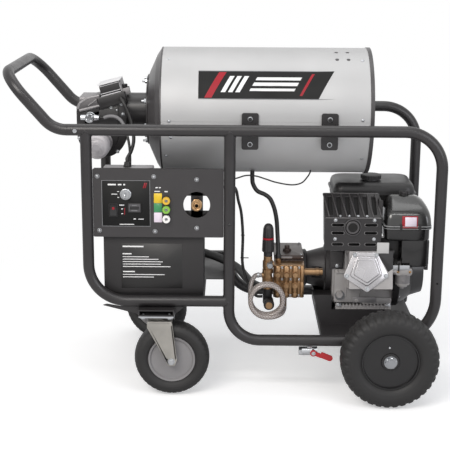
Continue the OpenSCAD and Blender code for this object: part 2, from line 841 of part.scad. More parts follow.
module pump_manifold() {
  z0 = shaft_z - 58;
  z1 = shaft_z + 58;
  color("#a5804a")
    difference() {
      union() {
        block_y(pump_x0, pump_x1, z0, z1, mani_y0, mani_y1 - gap, 6);
        for (x = valve_xs) {
          cyl_y(x, z0 + 86, mani_y0 - 6, mani_y0 + 2, 25);
          hex_y(x, z0 + 86, mani_y0 - 14, mani_y0 - 5, 20);
          cyl_y(x, z0 + 46, mani_y0 - 5, mani_y0 + 2, 25);
          hex_y(x, z0 + 46, mani_y0 - 11, mani_y0 - 4, 18);
        }
        // Discharge line towards the gearbox, the hose port on top and the bypass port below
        cyl_x(pump_x1 - 2, pump_x1 + 64, -150, z0 + 86, 24);
        cyl_z(hp_x, hp_y, z1 - 1, z1 + 14, 20);
        cyl_z(low_x, -150, z0 - 52, z0 + 1, 24);
        cyl_y(low_x, z0 - 38, -166, -150, 20);
        // Suction port
        cyl_x(pump_x0 - gap, pump_x0 + 2, suction_y, suction_z, 34);
      }
      for (x = [pump_x0 + 28, pump_x0 + 57, pump_x0 + 88])
        translate([x, mani_y0 - 1, z0 + 6])
          cube([4, 8, z1 - z0 - 12]);
    }
}
valve_xs = [184, 214, 244];
hp_x = 186;
hp_y = -134;
low_x = 206;
suction_y = -133;
suction_z = shaft_z - 36;

bell_len = engine_x0 - pump_x1 - 2 * gap;
module bell_housing() {
  color("#3c3a3b")
    difference() {
      union() {
        translate([pump_x1 + gap, 0, shaft_z])
          rotate([0, 90, 0])
            rotate_extrude()
              polygon([[0, 0], [66, 0], [66, 12], [58, 18], [bell_r - 12, bell_len - 24],
                       [bell_r, bell_len - 20], [bell_r, bell_len], [0, bell_len]]);
      }
      for (s = [-1, 1])
        block_y(pump_x1 + 30, pump_x1 + 72, shaft_z - 22, shaft_z + 22,
                s < 0 ? -100 : 30, s < 0 ? -30 : 100, 10);
    }
}

unl_x = 150;
unl_y = -172;

// Unloader valve in front of the pump's end, with the black filter bowl under it
module unloader_body() {
  color("#ab8449") {
    difference() {
      union() {
        cyl_z(unl_x, unl_y, 345, 462, 30);
        cyl_z(unl_x, unl_y, 420, 446, 36);
        cyl_z(unl_x, unl_y, 362, 384, 38);
        translate([unl_x, unl_y, 402])
          cylinder(d = 32 / cos(30), h = 14, $fn = 6);
      }
      cyl_z(unl_x, unl_y, 440, 463, 12.2);
    }
    cyl_x(unl_x + 12, pump_x0 - gap, unl_y, 432, 20);
    cyl_x(unl_x - 20, unl_x - 12, unl_y, 393, 20);
  }
  color("#7e7f82") {
    cyl_y(unl_x + 6, 438, unl_y - 34, unl_y - 10, 20);
    hex_y(unl_x + 6, 438, unl_y - 44, unl_y - 33, 19);
  }
  color("#1c1b1c") {
    cyl_z(unl_x, unl_y, 290, 345 - gap, 32);
    cyl_y(unl_x + 4, 302, unl_y - 58, unl_y, 34);
  }
  color("#ab8449")
    cyl_y(unl_x + 4, 302, unl_y - 62, unl_y - 58 - gap, 24);
}

module unloader_knob() {
  color("#19181a")
    difference() {
      union() {
        cyl_z(unl_x, unl_y, 463 + gap, 478, 30);
        translate([unl_x, unl_y, 477])
          cylinder(r1 = knob_r + 2, r2 = knob_r - 2, h = 86);
        translate([unl_x, unl_y, 562])
          cylinder(r1 = knob_r - 2, r2 = knob_r - 9, h = 14);
      }
      for (a = [0 : 45 : 315])
        translate([unl_x + (knob_r + 2) * cos(a), unl_y + (knob_r + 2) * sin(a), 536])
          cylinder(d = 6, h = 50);
    }
  color("#19181a")
    cyl_z(unl_x, unl_y, 444, 465, 12);
}

// Braided bypass hose: a lead from the unloader, the coil in front of the pump, wound about Y,
// and a lead back to the low port of the manifold
coil_x = 146;
coil_z = 324;
coil_y0 = -216;
coil_steps = round(24 * coil_turns);
coil_mid = [for (i = [0 : coil_steps])
  let (a = 180 + 360 * coil_turns * i / coil_steps)
  [coil_x + coil_r * cos(a), coil_y0 - coil_pitch * coil_turns * i / coil_steps,
   coil_z + coil_r * sin(a)]];
coil_y1 = coil_y0 - coil_pitch * coil_turns;
bypass_in = [[unl_x - 20 - gap, unl_y, 393], [unl_x - 36, unl_y, 393], [104, -178, 389],
  [95, -190, 376], [91, -204, 356], [90, -212, 340]];
bypass_out = [[164, coil_y1 + 2, coil_z - coil_r], [182, coil_y1 + 12, coil_z - coil_r + 1],
  [198, coil_y1 + 32, coil_z - coil_r + 4], [205, coil_y1 + 54, coil_z - coil_r + 7],
  [low_x, -182, shaft_z - 96], [low_x, -166 - gap, shaft_z - 96]];
coil_gaps = [for (i = [0 : coil_steps - 24]) norm(coil_mid[i + 24] - coil_mid[i]) - coil_d];
echo(least_gap_of_coil = min(coil_gaps));

module bypass_hose() {
  color("#b0a8a4")
    sweep(concat(bypass_in, coil_mid, bypass_out), coil_d / 2, 6, [0, 1, 0.02]);
}

suction_pts = [[pump_x0 - gap - 0.3, suction_y, suction_z], [150, suction_y, suction_z],
  [122, -122, 336], [96, -84, 338], [74, -30, 346], [50, 30, 356], [10, 90, 364], [-40, 140, 372],
  [-96, 178, 378], [-138, 206, inlet_z], [inlet_x, 232, inlet_z], [inlet_x, 262, inlet_z]];

module suction_hose() {
  color("#1d1c1d")
    sweep(suction_pts, 15.5, 12);
}

module water_inlet() {
  color("#ab8449")
    difference() {
      union() {
        cyl_y(inlet_x, inlet_z, 262 + gap, 330, 26.4);
        cyl_y(inlet_x, inlet_z, 276, 292, 38);
      }
      cyl_y(inlet_x, inlet_z, 290, 331, 19);
    }
}

pressure_pts = [[94, -100, 745], [94, -100, 722], [97, -100, 698], [112, -100, 674],
  [139, -100, 661], [158, -100, 644], [172, -100, 610], [180, -100, 571], [183, -102, 535],
  [185, -112, 500], [hp_x, -126, 474], [hp_x, hp_y, 460], [hp_x, hp_y, shaft_z + 72 + gap]];
outlet_pts = [[outlet_x, panel_y + 53.6, outlet_z], [outlet_x, -216, outlet_z],
  [outlet_x, -180, 672], [outlet_x, -140, 688], [outlet_x, -112, 712], [outlet_x, -100, 730],
  [outlet_x, -100, 745]];

// Hose from the pump up to the heater, and the line from the heater to the outlet coupler
module pressure_hose() {
  color("#1b1a1b") {
    sweep(pressure_pts, 7.5, 10, [1, 0, 0.02]);
    sweep(outlet_pts, 7.5, 10, [1, 0, 0]);
  }
}

sensor_pts = [[-235.7, -235, 716], [-215, -232, 716], [-150, -190, 716], [-91, -165, 716],
  [0, -130, 716], [39, -120, 722], [73, -120, 732], [107, -120, 730], [142, -118, 719],
  [176, -112, 707], [228, -104, 697], [263, -100, 703], [283, -100, 724], [292, -100, 740],
  [293, -100, 748]];
loom_pts = [[-235.7, -225, 690], [-210, -225, 690], [-150, -220, 690], [-91, -214, 692],
  [-20, -180, 700], [20, -158, 704], [38, -152, 690], [46, -150, 653], [57, -150, 607],
  [63, -150, 529], [62, -150, 440], [69, -150, 397], [80, -154, 364], [94, -164, 336],
  [112, -172, 318], [unl_x - 17, unl_y, 316]];

// Temperature sensor lead to the heater and the loom down to the pump's filter bowl
module sensor_cables() {
  color("#1b1a1b") {
    sweep(sensor_pts, 2.5, 8, [0, 1, 0.02]);
    sweep(loom_pts, 5, 8, [0, 1, 0.02]);
  }
}

// ---- Engine ----
head_d = 150;

module along_cylinder() {
  translate([500, 0, shaft_z])
    rotate([90 - cylinder_tilt, 0, 0])
      children();
}

module engine_block() {
  color("#6f6e70") {
    block_x(engine_x0, 590, engine_z + 12, shaft_z + 96, -104, 116, 34);
    // Base flange with its four feet
    difference() {
      block_z(392, 588, -112, 112, engine_z, engine_z + 14, 10);
      for (x = [418, 562], y = [-92, 92])
        cyl_z(x, y, engine_z - 1, engine_z + 15, 11);
    }
    along_cylinder() {
      translate([-56, -52, 90])
        cube([112, 104, 128]);
      for (i = [0 : fin_count - 1])
        translate([-74, -64, 108 + 12 * i])
          cube([148, 128, 3.5]);
      translate([-74, -64, 192])
        cube([148, 128, 26]);
    }
  }
  // Exhaust stub up to the muffler, and the oil plug
  color("#4a4545")
    cyl_z(440, -130, 456, muffler_z0 - gap, 36);
  color("#9a9b9d") {
    cyl_y(404, 309, -126, -100, 24);
    hex_y(404, 309, -134, -125, 17);
  }
}

module rocker_cover() {
  outline = [[-62, -22], [-58, 52], [14, 54], [64, -20], [8, -62]];
  color("#cfd0d2")
    along_cylinder() {
      hull()
        for (p = outline)
          translate([p[0], p[1], 218 + gap])
            cylinder(r = 12, h = 8, $fn = 32);
      hull()
        for (p = outline)
          translate([p[0] * 0.82, p[1] * 0.82, 226]) {
            cylinder(r = 12, h = 18, $fn = 32);
            cylinder(r = 6, h = 24, $fn = 32);
          }
      for (p = [[-66, 56], [20, 62], [72, -20], [4, -72]])
        translate([p[0], p[1], 224])
          cylinder(d = 13, h = 8, $fn = 6);
    }
}

muffler_z0 = 494;
// Muffler box with the slotted heat guard in front and on top
module muffler() {
  color("#2d2b2c") {
    difference() {
      block_y(360, 524, muffler_z0, 654, -166, -64, 18);
      translate([350, -190, 591])
        rotate([32, 0, 0])
          cube([190, 160, 80]);
    }
    cyl_y(446, 520, -100, -70, 60);
    // Guard: upright front, then a slotted grille that slopes back over the box
    difference() {
      union() {
        translate([340, 0, 0])
          rotate([90, 0, 90])
            linear_extrude(192)
              polygon([[-194, 489], [-194, 603], [-92, 667], [-90, 664], [-190.5, 601],
                       [-190.5, 489]]);
        translate([340, 0, 0])
          rotate([90, 0, 90])
            linear_extrude(3)
              polygon([[-193, 505], [-150, 520], [-120, 600], [-92, 666], [-193, 602]]);
      }
      cyl_y(435, 571, -196, -188, 52);
      for (i = [0 : 5])
        translate([353 + 30 * i, -181, 560])
          cube([15, 76, 120]);
      for (i = [0 : 1], x = [364, 476])
        block_y(x, x + 42, 546 + 28 * i, 556 + 28 * i, -196, -188, 4.5);
      for (i = [0 : 2])
        block_y(366 + 56 * i, 404 + 56 * i, 506, 516, -196, -188, 4.5);
    }
    cyl_y(435, 571, -200, -166, 44);
    for (p = [[376, 594], [508, 594], [376, 530], [508, 530]])
      cyl_y(p[0], p[1], -191, -160, 8);
  }
}

module air_cleaner() {
  color("#2a292a") {
    hull() {
      for (x = [575, 672], y = [-165, -85])
        translate([x, y, 640])
          cylinder(r = 22, h = 27, $fn = 32);
      for (x = [567, 682], y = [-175, -80])
        translate([x, y, 577])
          cylinder(r = 20, h = 21, $fn = 32);
    }
    block_z(541, 704, -200, -56, 568, 577, 14);
    block_z(546, 698, -194, -60, 524 + gap, 570, 18);
    block_y(604, 698, 430, 530, -190, -140, 10);
  }
}

module carburettor() {
  color("#a9a9ab") {
    cyl_z(613, -178, 368, 408, 50);
    cyl_z(613, -178, 360, 370, 34);
    block_y(586, 642, 404, 430 - gap, -202, -142, 8);
    cyl_x(574 + gap, 590, -190, 417, 26);
  }
}

module engine_fuel_tank() {
  color("#2b2a2b") {
    hull() {
      for (x = [410, 636], y = [-18, 130])
        translate([x, y, 662])
          cylinder(r1 = 30, r2 = 14, h = 28, $fn = 32);
      for (x = [410, 636], y = [-18, 130])
        translate([x, y, 608])
          cylinder(r = 30, h = 30, $fn = 32);
    }
    block_z(374, 672, -54, 166, 648, 656, 20);
    cyl_z(517, 30, 688, 694, 60);
    for (x = [440, 560], y = [-10, 100])
      translate([x - 14, y - 10, shaft_z + 96 + gap])
        cube([28, 20, 609 - shaft_z - 96 - gap]);
  }
}

module engine_fuel_cap() {
  color("#1a191a")
    difference() {
      cyl_z(517, 30, 694 + gap, 709, 72);
      for (a = [0 : 30 : 330])
        translate([517 + 38 * cos(a), 30 + 38 * sin(a), 693])
          cylinder(d = 9, h = 20);
    }
}

// Fan shroud with the ribbed recoil cover on its end
module blower_housing() {
  color("#242324")
    difference() {
      union() {
        cyl_x(590.3, 612, 0, shaft_z, 268);
        translate([612, 0, shaft_z])
          rotate([0, 90, 0])
            cylinder(r1 = 134, r2 = 100, h = 45);
        translate([590.3, -110, shaft_z + 40])
          cube([66, 220, 524 - shaft_z - 40]);
        translate([657, 0, shaft_z])
          rotate([0, 90, 0])
            cylinder(r1 = 98, r2 = 84, h = 44);
      }
      for (a = [0 : 20 : 340])
        translate([650, 0, shaft_z])
          rotate([a, 0, 0])
            translate([14, 52, -5])
              cube([40, 26, 10]);
    }
}

module recoil_grip() {
  color("#161616") {
    block_x(706, 718, 384, 456, -68, -48, 5.5);
    cyl_x(701 + gap, 708, -58, 425, 8);
  }
}

// ---- Drain valve ----
valve_z = rail_low_z - tube_r - 18;
valve_y = -frame_half;

lever_x = 304;
module drain_valve() {
  color("#3f3d3e") {
    cyl_x(266, 318, valve_y, valve_z, 30);
    cyl_y(lever_x, valve_z, valve_y - 22, valve_y, 20);
    translate([284, valve_y - 8, valve_z + 10])
      cube([16, 16, 8 - gap]);
  }
  color("#9b9c9e")
    translate([256, valve_y, valve_z])
      rotate([0, 90, 0])
        cylinder(d = 26 / cos(30), h = 12, $fn = 6);
}

module drain_lever() {
  color("#c4262b")
    translate([lever_x, valve_y - 22 - gap, valve_z])
      rotate([0, 22, 0])
        rotate([90, 0, 0])
          linear_extrude(5) {
            circle(d = 22);
            translate([0, -6])
              square([30, 14]);
            // Dipped grip
            translate([24, -5])
              square([34, 20]);
            translate([58, 5])
              circle(d = 20);
          }
}

// ---- Rear wheels ----

// Tyre, rim, hub and nut as one turning wheel; drawn at the middle, axis Y
module rear_wheel(s) {
  translate([wheel_x, s * wheel_y, wheel_r])
    rotate([90, 0, 0]) {
      color("#2b2a2b")
        difference() {
          rotate_extrude($fn = 96)
            polygon([[rim_r, -wheel_w / 2 + 14], [rim_r + 10, -wheel_w / 2 + 4],
                     [rim_r + 34, -wheel_w / 2], [wheel_r - 20, -wheel_w / 2 + 4],
                     [wheel_r - 6, -wheel_w / 2 + 16], [wheel_r, -wheel_w / 2 + 30],
                     [wheel_r, wheel_w / 2 - 30], [wheel_r - 6, wheel_w / 2 - 16],
                     [wheel_r - 20, wheel_w / 2 - 4], [rim_r + 34, wheel_w / 2],
                     [rim_r + 10, wheel_w / 2 - 4], [rim_r, wheel_w / 2 - 14]]);
          // Grooves between the lugs of both shoulders, half a pitch apart
          for (side = [0, 1], i = [0 : lug_count - 1])
            rotate([0, side * 180, (i + side / 2) * 360 / lug_count])
              translate([side > 0 ? -wheel_r - 5 : wheel_r - tread_depth, -3, 16])
                cube([tread_depth + 5, 6, wheel_w / 2]);
        }
      color("#232223")
        difference() {
          rotate_extrude($fn = 96)
            polygon([[axle_d / 2 + run_fit, -34], [26, -34], [26, -6], [rim_r - 22, 6],
                     [rim_r - 12, -wheel_w / 2 + 20], [rim_r + 6, -wheel_w / 2 + 8],
                     [rim_r, -wheel_w / 2 + 14], [rim_r, wheel_w / 2 - 14],
                     [rim_r + 6, wheel_w / 2 - 8], [rim_r - 12, wheel_w / 2 - 20],
                     [rim_r - 22, 12], [26, 4], [26, 34], [axle_d / 2 + run_fit, 34]]);
        }
    }
}

module rear_wheel_near() {
  rear_wheel(-1);
}

module rear_wheel_far() {
  rear_wheel(1);
}

// ---- Casters ----
module at_caster(s, turn) {
  translate([caster_x, s * caster_y, 0])
    rotate([0, 0, turn])
      children();
}

module caster_fork() {
  leg_y = caster_w / 2 + 7;
  color("#b5b7ba") {
    difference() {
      union() {
        cyl_z(0, 0, crown_z0 + crown_t - 1, mount_z0 - gap, 62);
        block_z(-32, 52, -leg_y - 5, leg_y + 5, crown_z0, crown_z0 + crown_t, 4);
        for (s = [-1, 1])
          profile_y([[-32, crown_z0 + 3], [52, crown_z0 + 3], [54, crown_z0 - 22],
                     [caster_trail + 19, caster_r + 6], [caster_trail + 12, caster_r - 16],
                     [caster_trail - 12, caster_r - 16], [caster_trail - 19, caster_r + 6],
                     [-32, crown_z0 - 16]],
                    s < 0 ? -leg_y - 5 : leg_y, s < 0 ? -leg_y : leg_y + 5);
      }
      cyl_z(0, 0, crown_z0 - 1, mount_z0 + 1, pin_d + 2 * run_fit);
      for (s = [-1, 1])
        cyl_y(caster_trail, caster_r, s * leg_y - 8, s * leg_y + 8, 12.4);
    }
    cyl_y(caster_trail, caster_r, -leg_y - 8, leg_y + 8, 12);
    hex_y(caster_trail, caster_r, -leg_y - 13, -leg_y - 5 - gap, 19);
    hex_y(caster_trail, caster_r, leg_y + 5 + gap, leg_y + 13, 19);
  }
}

module caster_wheel() {
  translate([caster_trail, 0, caster_r])
    rotate([90, 0, 0]) {
      color("#333233")
        rotate_extrude($fn = 96)
          polygon([[78, -caster_w / 2 + 16], [86, -caster_w / 2 + 4], [104, -caster_w / 2],
                   [caster_r - 14, -caster_w / 2 + 6], [caster_r - 3, -caster_w / 2 + 22],
                   [caster_r, 0], [caster_r - 3, caster_w / 2 - 22],
                   [caster_r - 14, caster_w / 2 - 6], [104, caster_w / 2],
                   [86, caster_w / 2 - 4], [78, caster_w / 2 - 16]]);
      color("#a3a5a8")
        rotate_extrude($fn = 96)
          polygon([[6 + run_fit, -40], [17, -40], [20, -12], [60, -5],
                   [68, -caster_w / 2 + 18], [80, -caster_w / 2 + 10], [78, -caster_w / 2 + 16],
                   [78, caster_w / 2 - 16], [80, caster_w / 2 - 10], [68, caster_w / 2 - 18],
                   [60, 5], [20, 12], [17, 40], [6 + run_fit, 40]]);
    }
}

module caster_fork_near() {
  at_caster(-1, 0) caster_fork();
}

module caster_fork_far() {
  at_caster(1, far_turn) caster_fork();
}

module caster_wheel_near() {
  at_caster(-1, 0) caster_wheel();
}

module caster_wheel_far() {
  at_caster(1, far_turn) caster_wheel();
}

side_frame_near();
side_frame_far();
push_handle();
handle_bolts();
caster_crossmember();
caster_mounts();
tank_tray();
rear_axle();
engine_deck();
tank_brackets();
heater_shell_upper();
heater_shell_lower();
heater_drum();
burner_flange();
burner_housing();
burner_motor();
ignition_box();
fuel_pump();
burner_fuel_hose();
burner_cable();
control_panel();
control_enclosure();
key_switch();
rocker_switch();
hour_meter();
nozzle_rack();
nozzle_15();
nozzle_25();
nozzle_40();
outlet_bracket();
coupler_sleeve();
burner_fuel_tank();
burner_fuel_cap();
pump_crankcase();
pump_manifold();
bell_housing();
unloader_body();
unloader_knob();
bypass_hose();
suction_hose();
pressure_hose();
water_inlet();
engine_block();
rocker_cover();
muffler();
air_cleaner();
carburettor();
engine_fuel_tank();
engine_fuel_cap();
blower_housing();
recoil_grip();
drain_valve();
drain_lever();
rear_wheel_near();
rear_wheel_far();
caster_fork_near();
caster_fork_far();
caster_wheel_near();
caster_wheel_far();
sensor_cables();
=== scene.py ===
# Hot-water pressure washer on a tube cart, dressed for its picture from the panel side.
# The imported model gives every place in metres; sizes below are millimetres of the same frame.
import json

import bmesh
import bpy
import numpy as np
from mathutils import Matrix, Vector

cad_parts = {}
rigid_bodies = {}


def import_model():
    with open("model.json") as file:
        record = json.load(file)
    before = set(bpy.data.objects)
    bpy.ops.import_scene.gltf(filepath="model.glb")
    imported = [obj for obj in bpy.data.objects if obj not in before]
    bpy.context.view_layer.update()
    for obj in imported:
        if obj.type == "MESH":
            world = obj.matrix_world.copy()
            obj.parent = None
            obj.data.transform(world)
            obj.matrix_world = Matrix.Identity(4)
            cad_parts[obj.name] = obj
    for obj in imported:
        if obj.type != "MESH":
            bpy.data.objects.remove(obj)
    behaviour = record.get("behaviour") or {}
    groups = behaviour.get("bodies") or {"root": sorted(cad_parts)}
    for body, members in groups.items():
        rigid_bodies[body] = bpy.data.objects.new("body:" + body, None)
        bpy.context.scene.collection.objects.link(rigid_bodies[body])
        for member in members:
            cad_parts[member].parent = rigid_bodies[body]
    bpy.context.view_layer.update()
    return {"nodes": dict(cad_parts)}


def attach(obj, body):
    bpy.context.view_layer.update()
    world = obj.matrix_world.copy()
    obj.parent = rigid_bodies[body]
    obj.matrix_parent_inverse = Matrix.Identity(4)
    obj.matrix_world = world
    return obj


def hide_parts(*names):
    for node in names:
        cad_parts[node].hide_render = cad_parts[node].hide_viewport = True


for spare in list(bpy.data.objects):
    bpy.data.objects.remove(spare)
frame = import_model()
cad = frame["nodes"]


# ---- Studio ----
# The lens stands four metres in front of the panel side, a little above the tank, looking down
# by 0.25 radian. The floor is pale matt board, and white shows wherever a ray leaves the set.
scene = bpy.context.scene
scene.view_settings.view_transform = "Standard"

pitch, yaw, roll = 0.25, -0.0072, -0.006
ahead = Vector((np.sin(yaw) * np.cos(pitch), np.cos(yaw) * np.cos(pitch), -np.sin(pitch)))
level = Vector((np.cos(yaw), -np.sin(yaw), 0.0))
above = level.cross(ahead)
cam_x = level * np.cos(roll) - above * np.sin(roll)
cam_y = level * np.sin(roll) + above * np.cos(roll)
lens = bpy.data.cameras.new("photo_lens")
lens.sensor_width = 36.0
lens.lens = 36.0 * 1155.92 / 450
photo_camera = bpy.data.objects.new("photo_camera", lens)
scene.collection.objects.link(photo_camera)
pose = Matrix((cam_x, cam_y, -ahead)).transposed().to_4x4()
pose.translation = (0.0292, -3.991, 1.5452)
photo_camera.matrix_world = pose
scene.camera = photo_camera


def linear(colour):
    """sRGB hex to linear RGBA: c / 12.92 below 0.04045, else ((c + 0.055) / 1.055) ^ 2.4."""
    c = np.array([int(colour[i:i + 2], 16) for i in (1, 3, 5)]) / 255
    c = np.where(c <= 0.04045, c / 12.92, ((c + 0.055) / 1.055) ** 2.4)
    return (*(float(v) for v in c), 1.0)


def add(tree, kind, inputs=None, **settings):
    """Add a node of this kind: settings are its properties, inputs are values or links by socket."""
    made = tree.nodes.new("ShaderNode" + kind)
    for key, value in settings.items():
        setattr(made, key, value)
    for key, value in (inputs or {}).items():
        if isinstance(value, bpy.types.NodeSocket):
            tree.links.new(value, made.inputs[key])
        else:
            made.inputs[key].default_value = value
    return made


def blank(name):
    """New material with an empty node tree, as a pair."""
    material = bpy.data.materials.new(name)
    material.use_nodes = True
    material.node_tree.nodes.clear()
    return material, material.node_tree


def between(tree, value, low, high):
    """Noise, which mostly lies between 0.3 and 0.7, spread over low to high."""
    return add(tree, "MapRange", {"Value": value, "From Min": 0.3, "From Max": 0.7, "To Min": low,
                                  "To Max": high})


world = bpy.data.worlds.new("studio_air")
scene.world = world
world.use_nodes = True
air = world.node_tree
air.nodes.clear()
ray = add(air, "LightPath")
seen = add(air, "Math", {0: ray.outputs["Is Camera Ray"], 1: ray.outputs["Is Glossy Ray"]},
           operation="MAXIMUM")
seen = add(air, "Math", {0: seen.outputs[0], 1: ray.outputs["Is Transmission Ray"]}, operation="MAXIMUM")
dim = add(air, "Background", {"Color": linear("#f4f6fb"), "Strength": 0.36})
white = add(air, "Background", {"Color": (1.0, 1.0, 1.0, 1.0), "Strength": 1.0})
both = add(air, "MixShader", {0: seen.outputs[0], 1: dim.outputs[0], 2: white.outputs[0]})
add(air, "OutputWorld", {0: both.outputs[0]})


def lamp(name, place, aim, width, height, watts, colour):
    """Rectangular soft lamp at place, its face turned to aim."""
    light = bpy.data.lights.new(name, "AREA")
    light.shape, light.size, light.size_y = "RECTANGLE", width, height
    light.energy, light.color = watts, linear(colour)[:3]
    body = bpy.data.objects.new(name, light)
    body.location = place
    body.rotation_euler = (Vector(aim) - Vector(place)).to_track_quat("-Z", "Y").to_euler()
    scene.collection.objects.link(body)


lamp("key_lamp", (-1.7, -3.2, 3.1), (0.0, 0.0, 0.6), 2.4, 1.6, 84.0, "#fffaf4")
lamp("fill_lamp", (2.8, -3.0, 1.8), (0.1, 0.0, 0.5), 2.0, 2.0, 34.0, "#f6f8ff")
lamp("top_lamp", (0.2, 0.3, 3.6), (0.0, 0.0, 0.6), 2.6, 1.8, 22.0, "#ffffff")
lamp("strip_lamp", (0.0, -2.1, 2.9), (0.0, -0.285, 0.9), 3.4, 0.18, 16.0, "#ffffff")

floor_mesh = bpy.data.meshes.new("studio_floor")
floor_mesh.from_pydata([(-9, -7, 0), (9, -7, 0), (9, 9, 0), (-9, 9, 0)], [], [(0, 1, 2, 3)])
floor = bpy.data.objects.new("studio_floor", floor_mesh)
scene.collection.objects.link(floor)
board, paper = blank("matt_white_board")
ray = add(paper, "LightPath")
away = add(paper, "VectorMath", {0: add(paper, "TexCoord").outputs["Object"]}, operation="LENGTH")
clear = add(paper, "MapRange", {"Value": away.outputs["Value"], "From Min": 0.75, "From Max": 1.7},
            interpolation_type="SMOOTHSTEP")
face = add(paper, "BsdfPrincipled", {"Base Color": linear("#f4f4f4"), "Roughness": 0.9})
glow = add(paper, "Emission", {"Color": (1.0, 1.0, 1.0, 1.0), "Strength": 0.42})
lift = add(paper, "AddShader", {0: face.outputs[0], 1: glow.outputs[0]})
full = add(paper, "Emission", {"Color": (1.0, 1.0, 1.0, 1.0), "Strength": 1.0})
fade = add(paper, "MixShader", {0: clear.outputs[0], 1: lift.outputs[0], 2: full.outputs[0]})
seen = add(paper, "MixShader", {0: ray.outputs["Is Camera Ray"], 1: face.outputs[0], 2: fade.outputs[0]})
add(paper, "OutputMaterial", {0: seen.outputs[0]})
floor_mesh.materials.append(board)


# ---- Cart frame, handle and welds ----
# Bent 38 mm steel tube, welded into two side loops and powder coated satin charcoal; the handle
# is one more bent tube in the same coat, plugged into the top rails and bolted.
TUBE_R = 19.0
SIDE_Y = 285.0


def coat(name, colour, rough, grain_mm, bump_mm, metal=0.0, gloss=0.0, drift=0.06, ior=1.5):
    """A finish with fine grain: noise of grain_mm across lifts the surface by bump_mm, and a slow
    noise a hand wide shifts the roughness and the shade a little, as handling and dust do."""
    material, tree = blank(name)
    spot = add(tree, "TexCoord").outputs["Object"]
    grain = add(tree, "TexNoise", {"Vector": spot, "Scale": 1000.0 / grain_mm, "Detail": 2.0})
    slow = add(tree, "TexNoise", {"Vector": spot, "Scale": 14.0, "Detail": 3.0})
    shade = between(tree, slow.outputs["Fac"], 1.0 - drift, 1.0 + drift)
    tint = add(tree, "VectorMath", {0: linear(colour)[:3], "Scale": shade.outputs[0]}, operation="SCALE")
    worn = between(tree, slow.outputs["Fac"], rough - 0.05, rough + 0.05)
    rise = add(tree, "Bump",
               {"Height": grain.outputs["Fac"], "Strength": 0.6, "Distance": bump_mm / 1000.0})
    surface = add(tree, "BsdfPrincipled", {"Base Color": tint.outputs[0], "Roughness": worn.outputs[0],
                                           "Metallic": metal, "Normal": rise.outputs[0],
                                           "Coat Weight": gloss, "Coat Roughness": 0.12})
    if metal < 0.5:
        surface.inputs["IOR"].default_value = ior
    add(tree, "OutputMaterial", {0: surface.outputs[0]})
    return material


# Powder coat on steel tube: polyester baked on, with the faint orange peel of a 1.5 mm ripple
charcoal_coat = coat("satin_charcoal_powder_coat", "#2c2a2b", 0.33, 1.5, 0.04)
black_coat = coat("satin_black_powder_coat", "#2b292a", 0.42, 1.5, 0.05)
# Bright zinc on steel: thin plating over rolled metal, soft sheen with cloudy passivation
zinc_plate = coat("bright_zinc_plate", "#b9bbbe", 0.30, 2.5, 0.02, metal=1.0, drift=0.10)
# Turned bar: fine lathe marks, duller than plating
turned_steel = coat("turned_steel_bar", "#9a9c9f", 0.34, 0.8, 0.02, metal=1.0)


def dress(material, *names):
    """Give CAD nodes this material on every slot."""
    for name in names:
        slots = cad[name].material_slots
        if not slots:
            cad[name].data.materials.append(material)
        for one in slots:
            one.material = material


dress(charcoal_coat, "side_frame_near", "side_frame_far", "push_handle")
dress(zinc_plate, "handle_bolts", "caster_mounts")
dress(black_coat, "caster_crossmember", "tank_tray", "engine_deck")
dress(turned_steel, "rear_axle")


def skin(rings, loop=False, lengths=None):
    """Quads over a grid of points (stations, round, xyz): station i joins i + 1, point j joins j + 1
    and the last joins the first. The end rings are closed by a face each, or joined with loop."""
    rings = np.asarray(rings, float)
    m, n = rings.shape[:2]
    i = np.arange(m if loop else m - 1)[:, None] + np.zeros((1, n), int)
    j = np.arange(n)[None, :] + np.zeros_like(i)
    k, nxt = (i + 1) % m, (j + 1) % n
    quads = np.stack([i * n + j, i * n + nxt, k * n + nxt, k * n + j], -1).reshape(-1, 4)
    run = np.arange(m + 1, dtype=float) if lengths is None else np.append(lengths, lengths[-1])
    u0, u1 = j / n, (j + 1) / n
    uv = np.stack([np.stack([u0, run[i]], -1), np.stack([u1, run[i]], -1), np.stack([u1, run[i + 1]], -1),
                   np.stack([u0, run[i + 1]], -1)], -2)
    ends = [] if loop else [list(range(n))[::-1], list(range((m - 1) * n, m * n))]
    return rings.reshape(-1, 3), quads, uv.reshape(-1, 2), ends


def piece(name, parts, material, body="cart", instead_of=(), crease=32.0, uv=False):
    """One mesh object out of several skins, in metres, normals outwards, smooth below the crease
    angle. It rides on its body and may stand for CAD nodes."""
    points, faces, maps, start = [], [], [], 0
    for xyz, quads, coords, ends in parts:
        points.append(xyz)
        faces += (quads + start).tolist() + [[v + start for v in end] for end in ends]
        maps.append(np.concatenate([coords] + [np.zeros((len(end), 2)) for end in ends]))
        start += len(xyz)
    mesh = bpy.data.meshes.new(name)
    mesh.from_pydata((np.concatenate(points) / 1000.0).tolist(), [], faces)
    if uv:
        layer = mesh.uv_layers.new(name="round_and_along")
        layer.data.foreach_set("uv", np.concatenate(maps).ravel())
    work = bmesh.new()
    work.from_mesh(mesh)
    bmesh.ops.recalc_face_normals(work, faces=work.faces)
    work.to_mesh(mesh)
    work.free()
    mesh.polygons.foreach_set("use_smooth", np.ones(len(mesh.polygons), bool))
    mesh.set_sharp_from_angle(angle=np.radians(crease))
    mesh.materials.append(material)
    made = bpy.data.objects.new(name, mesh)
    scene.collection.objects.link(made)
    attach(made, body)
    if instead_of:
        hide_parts(*([instead_of] if isinstance(instead_of, str) else instead_of))
    return made


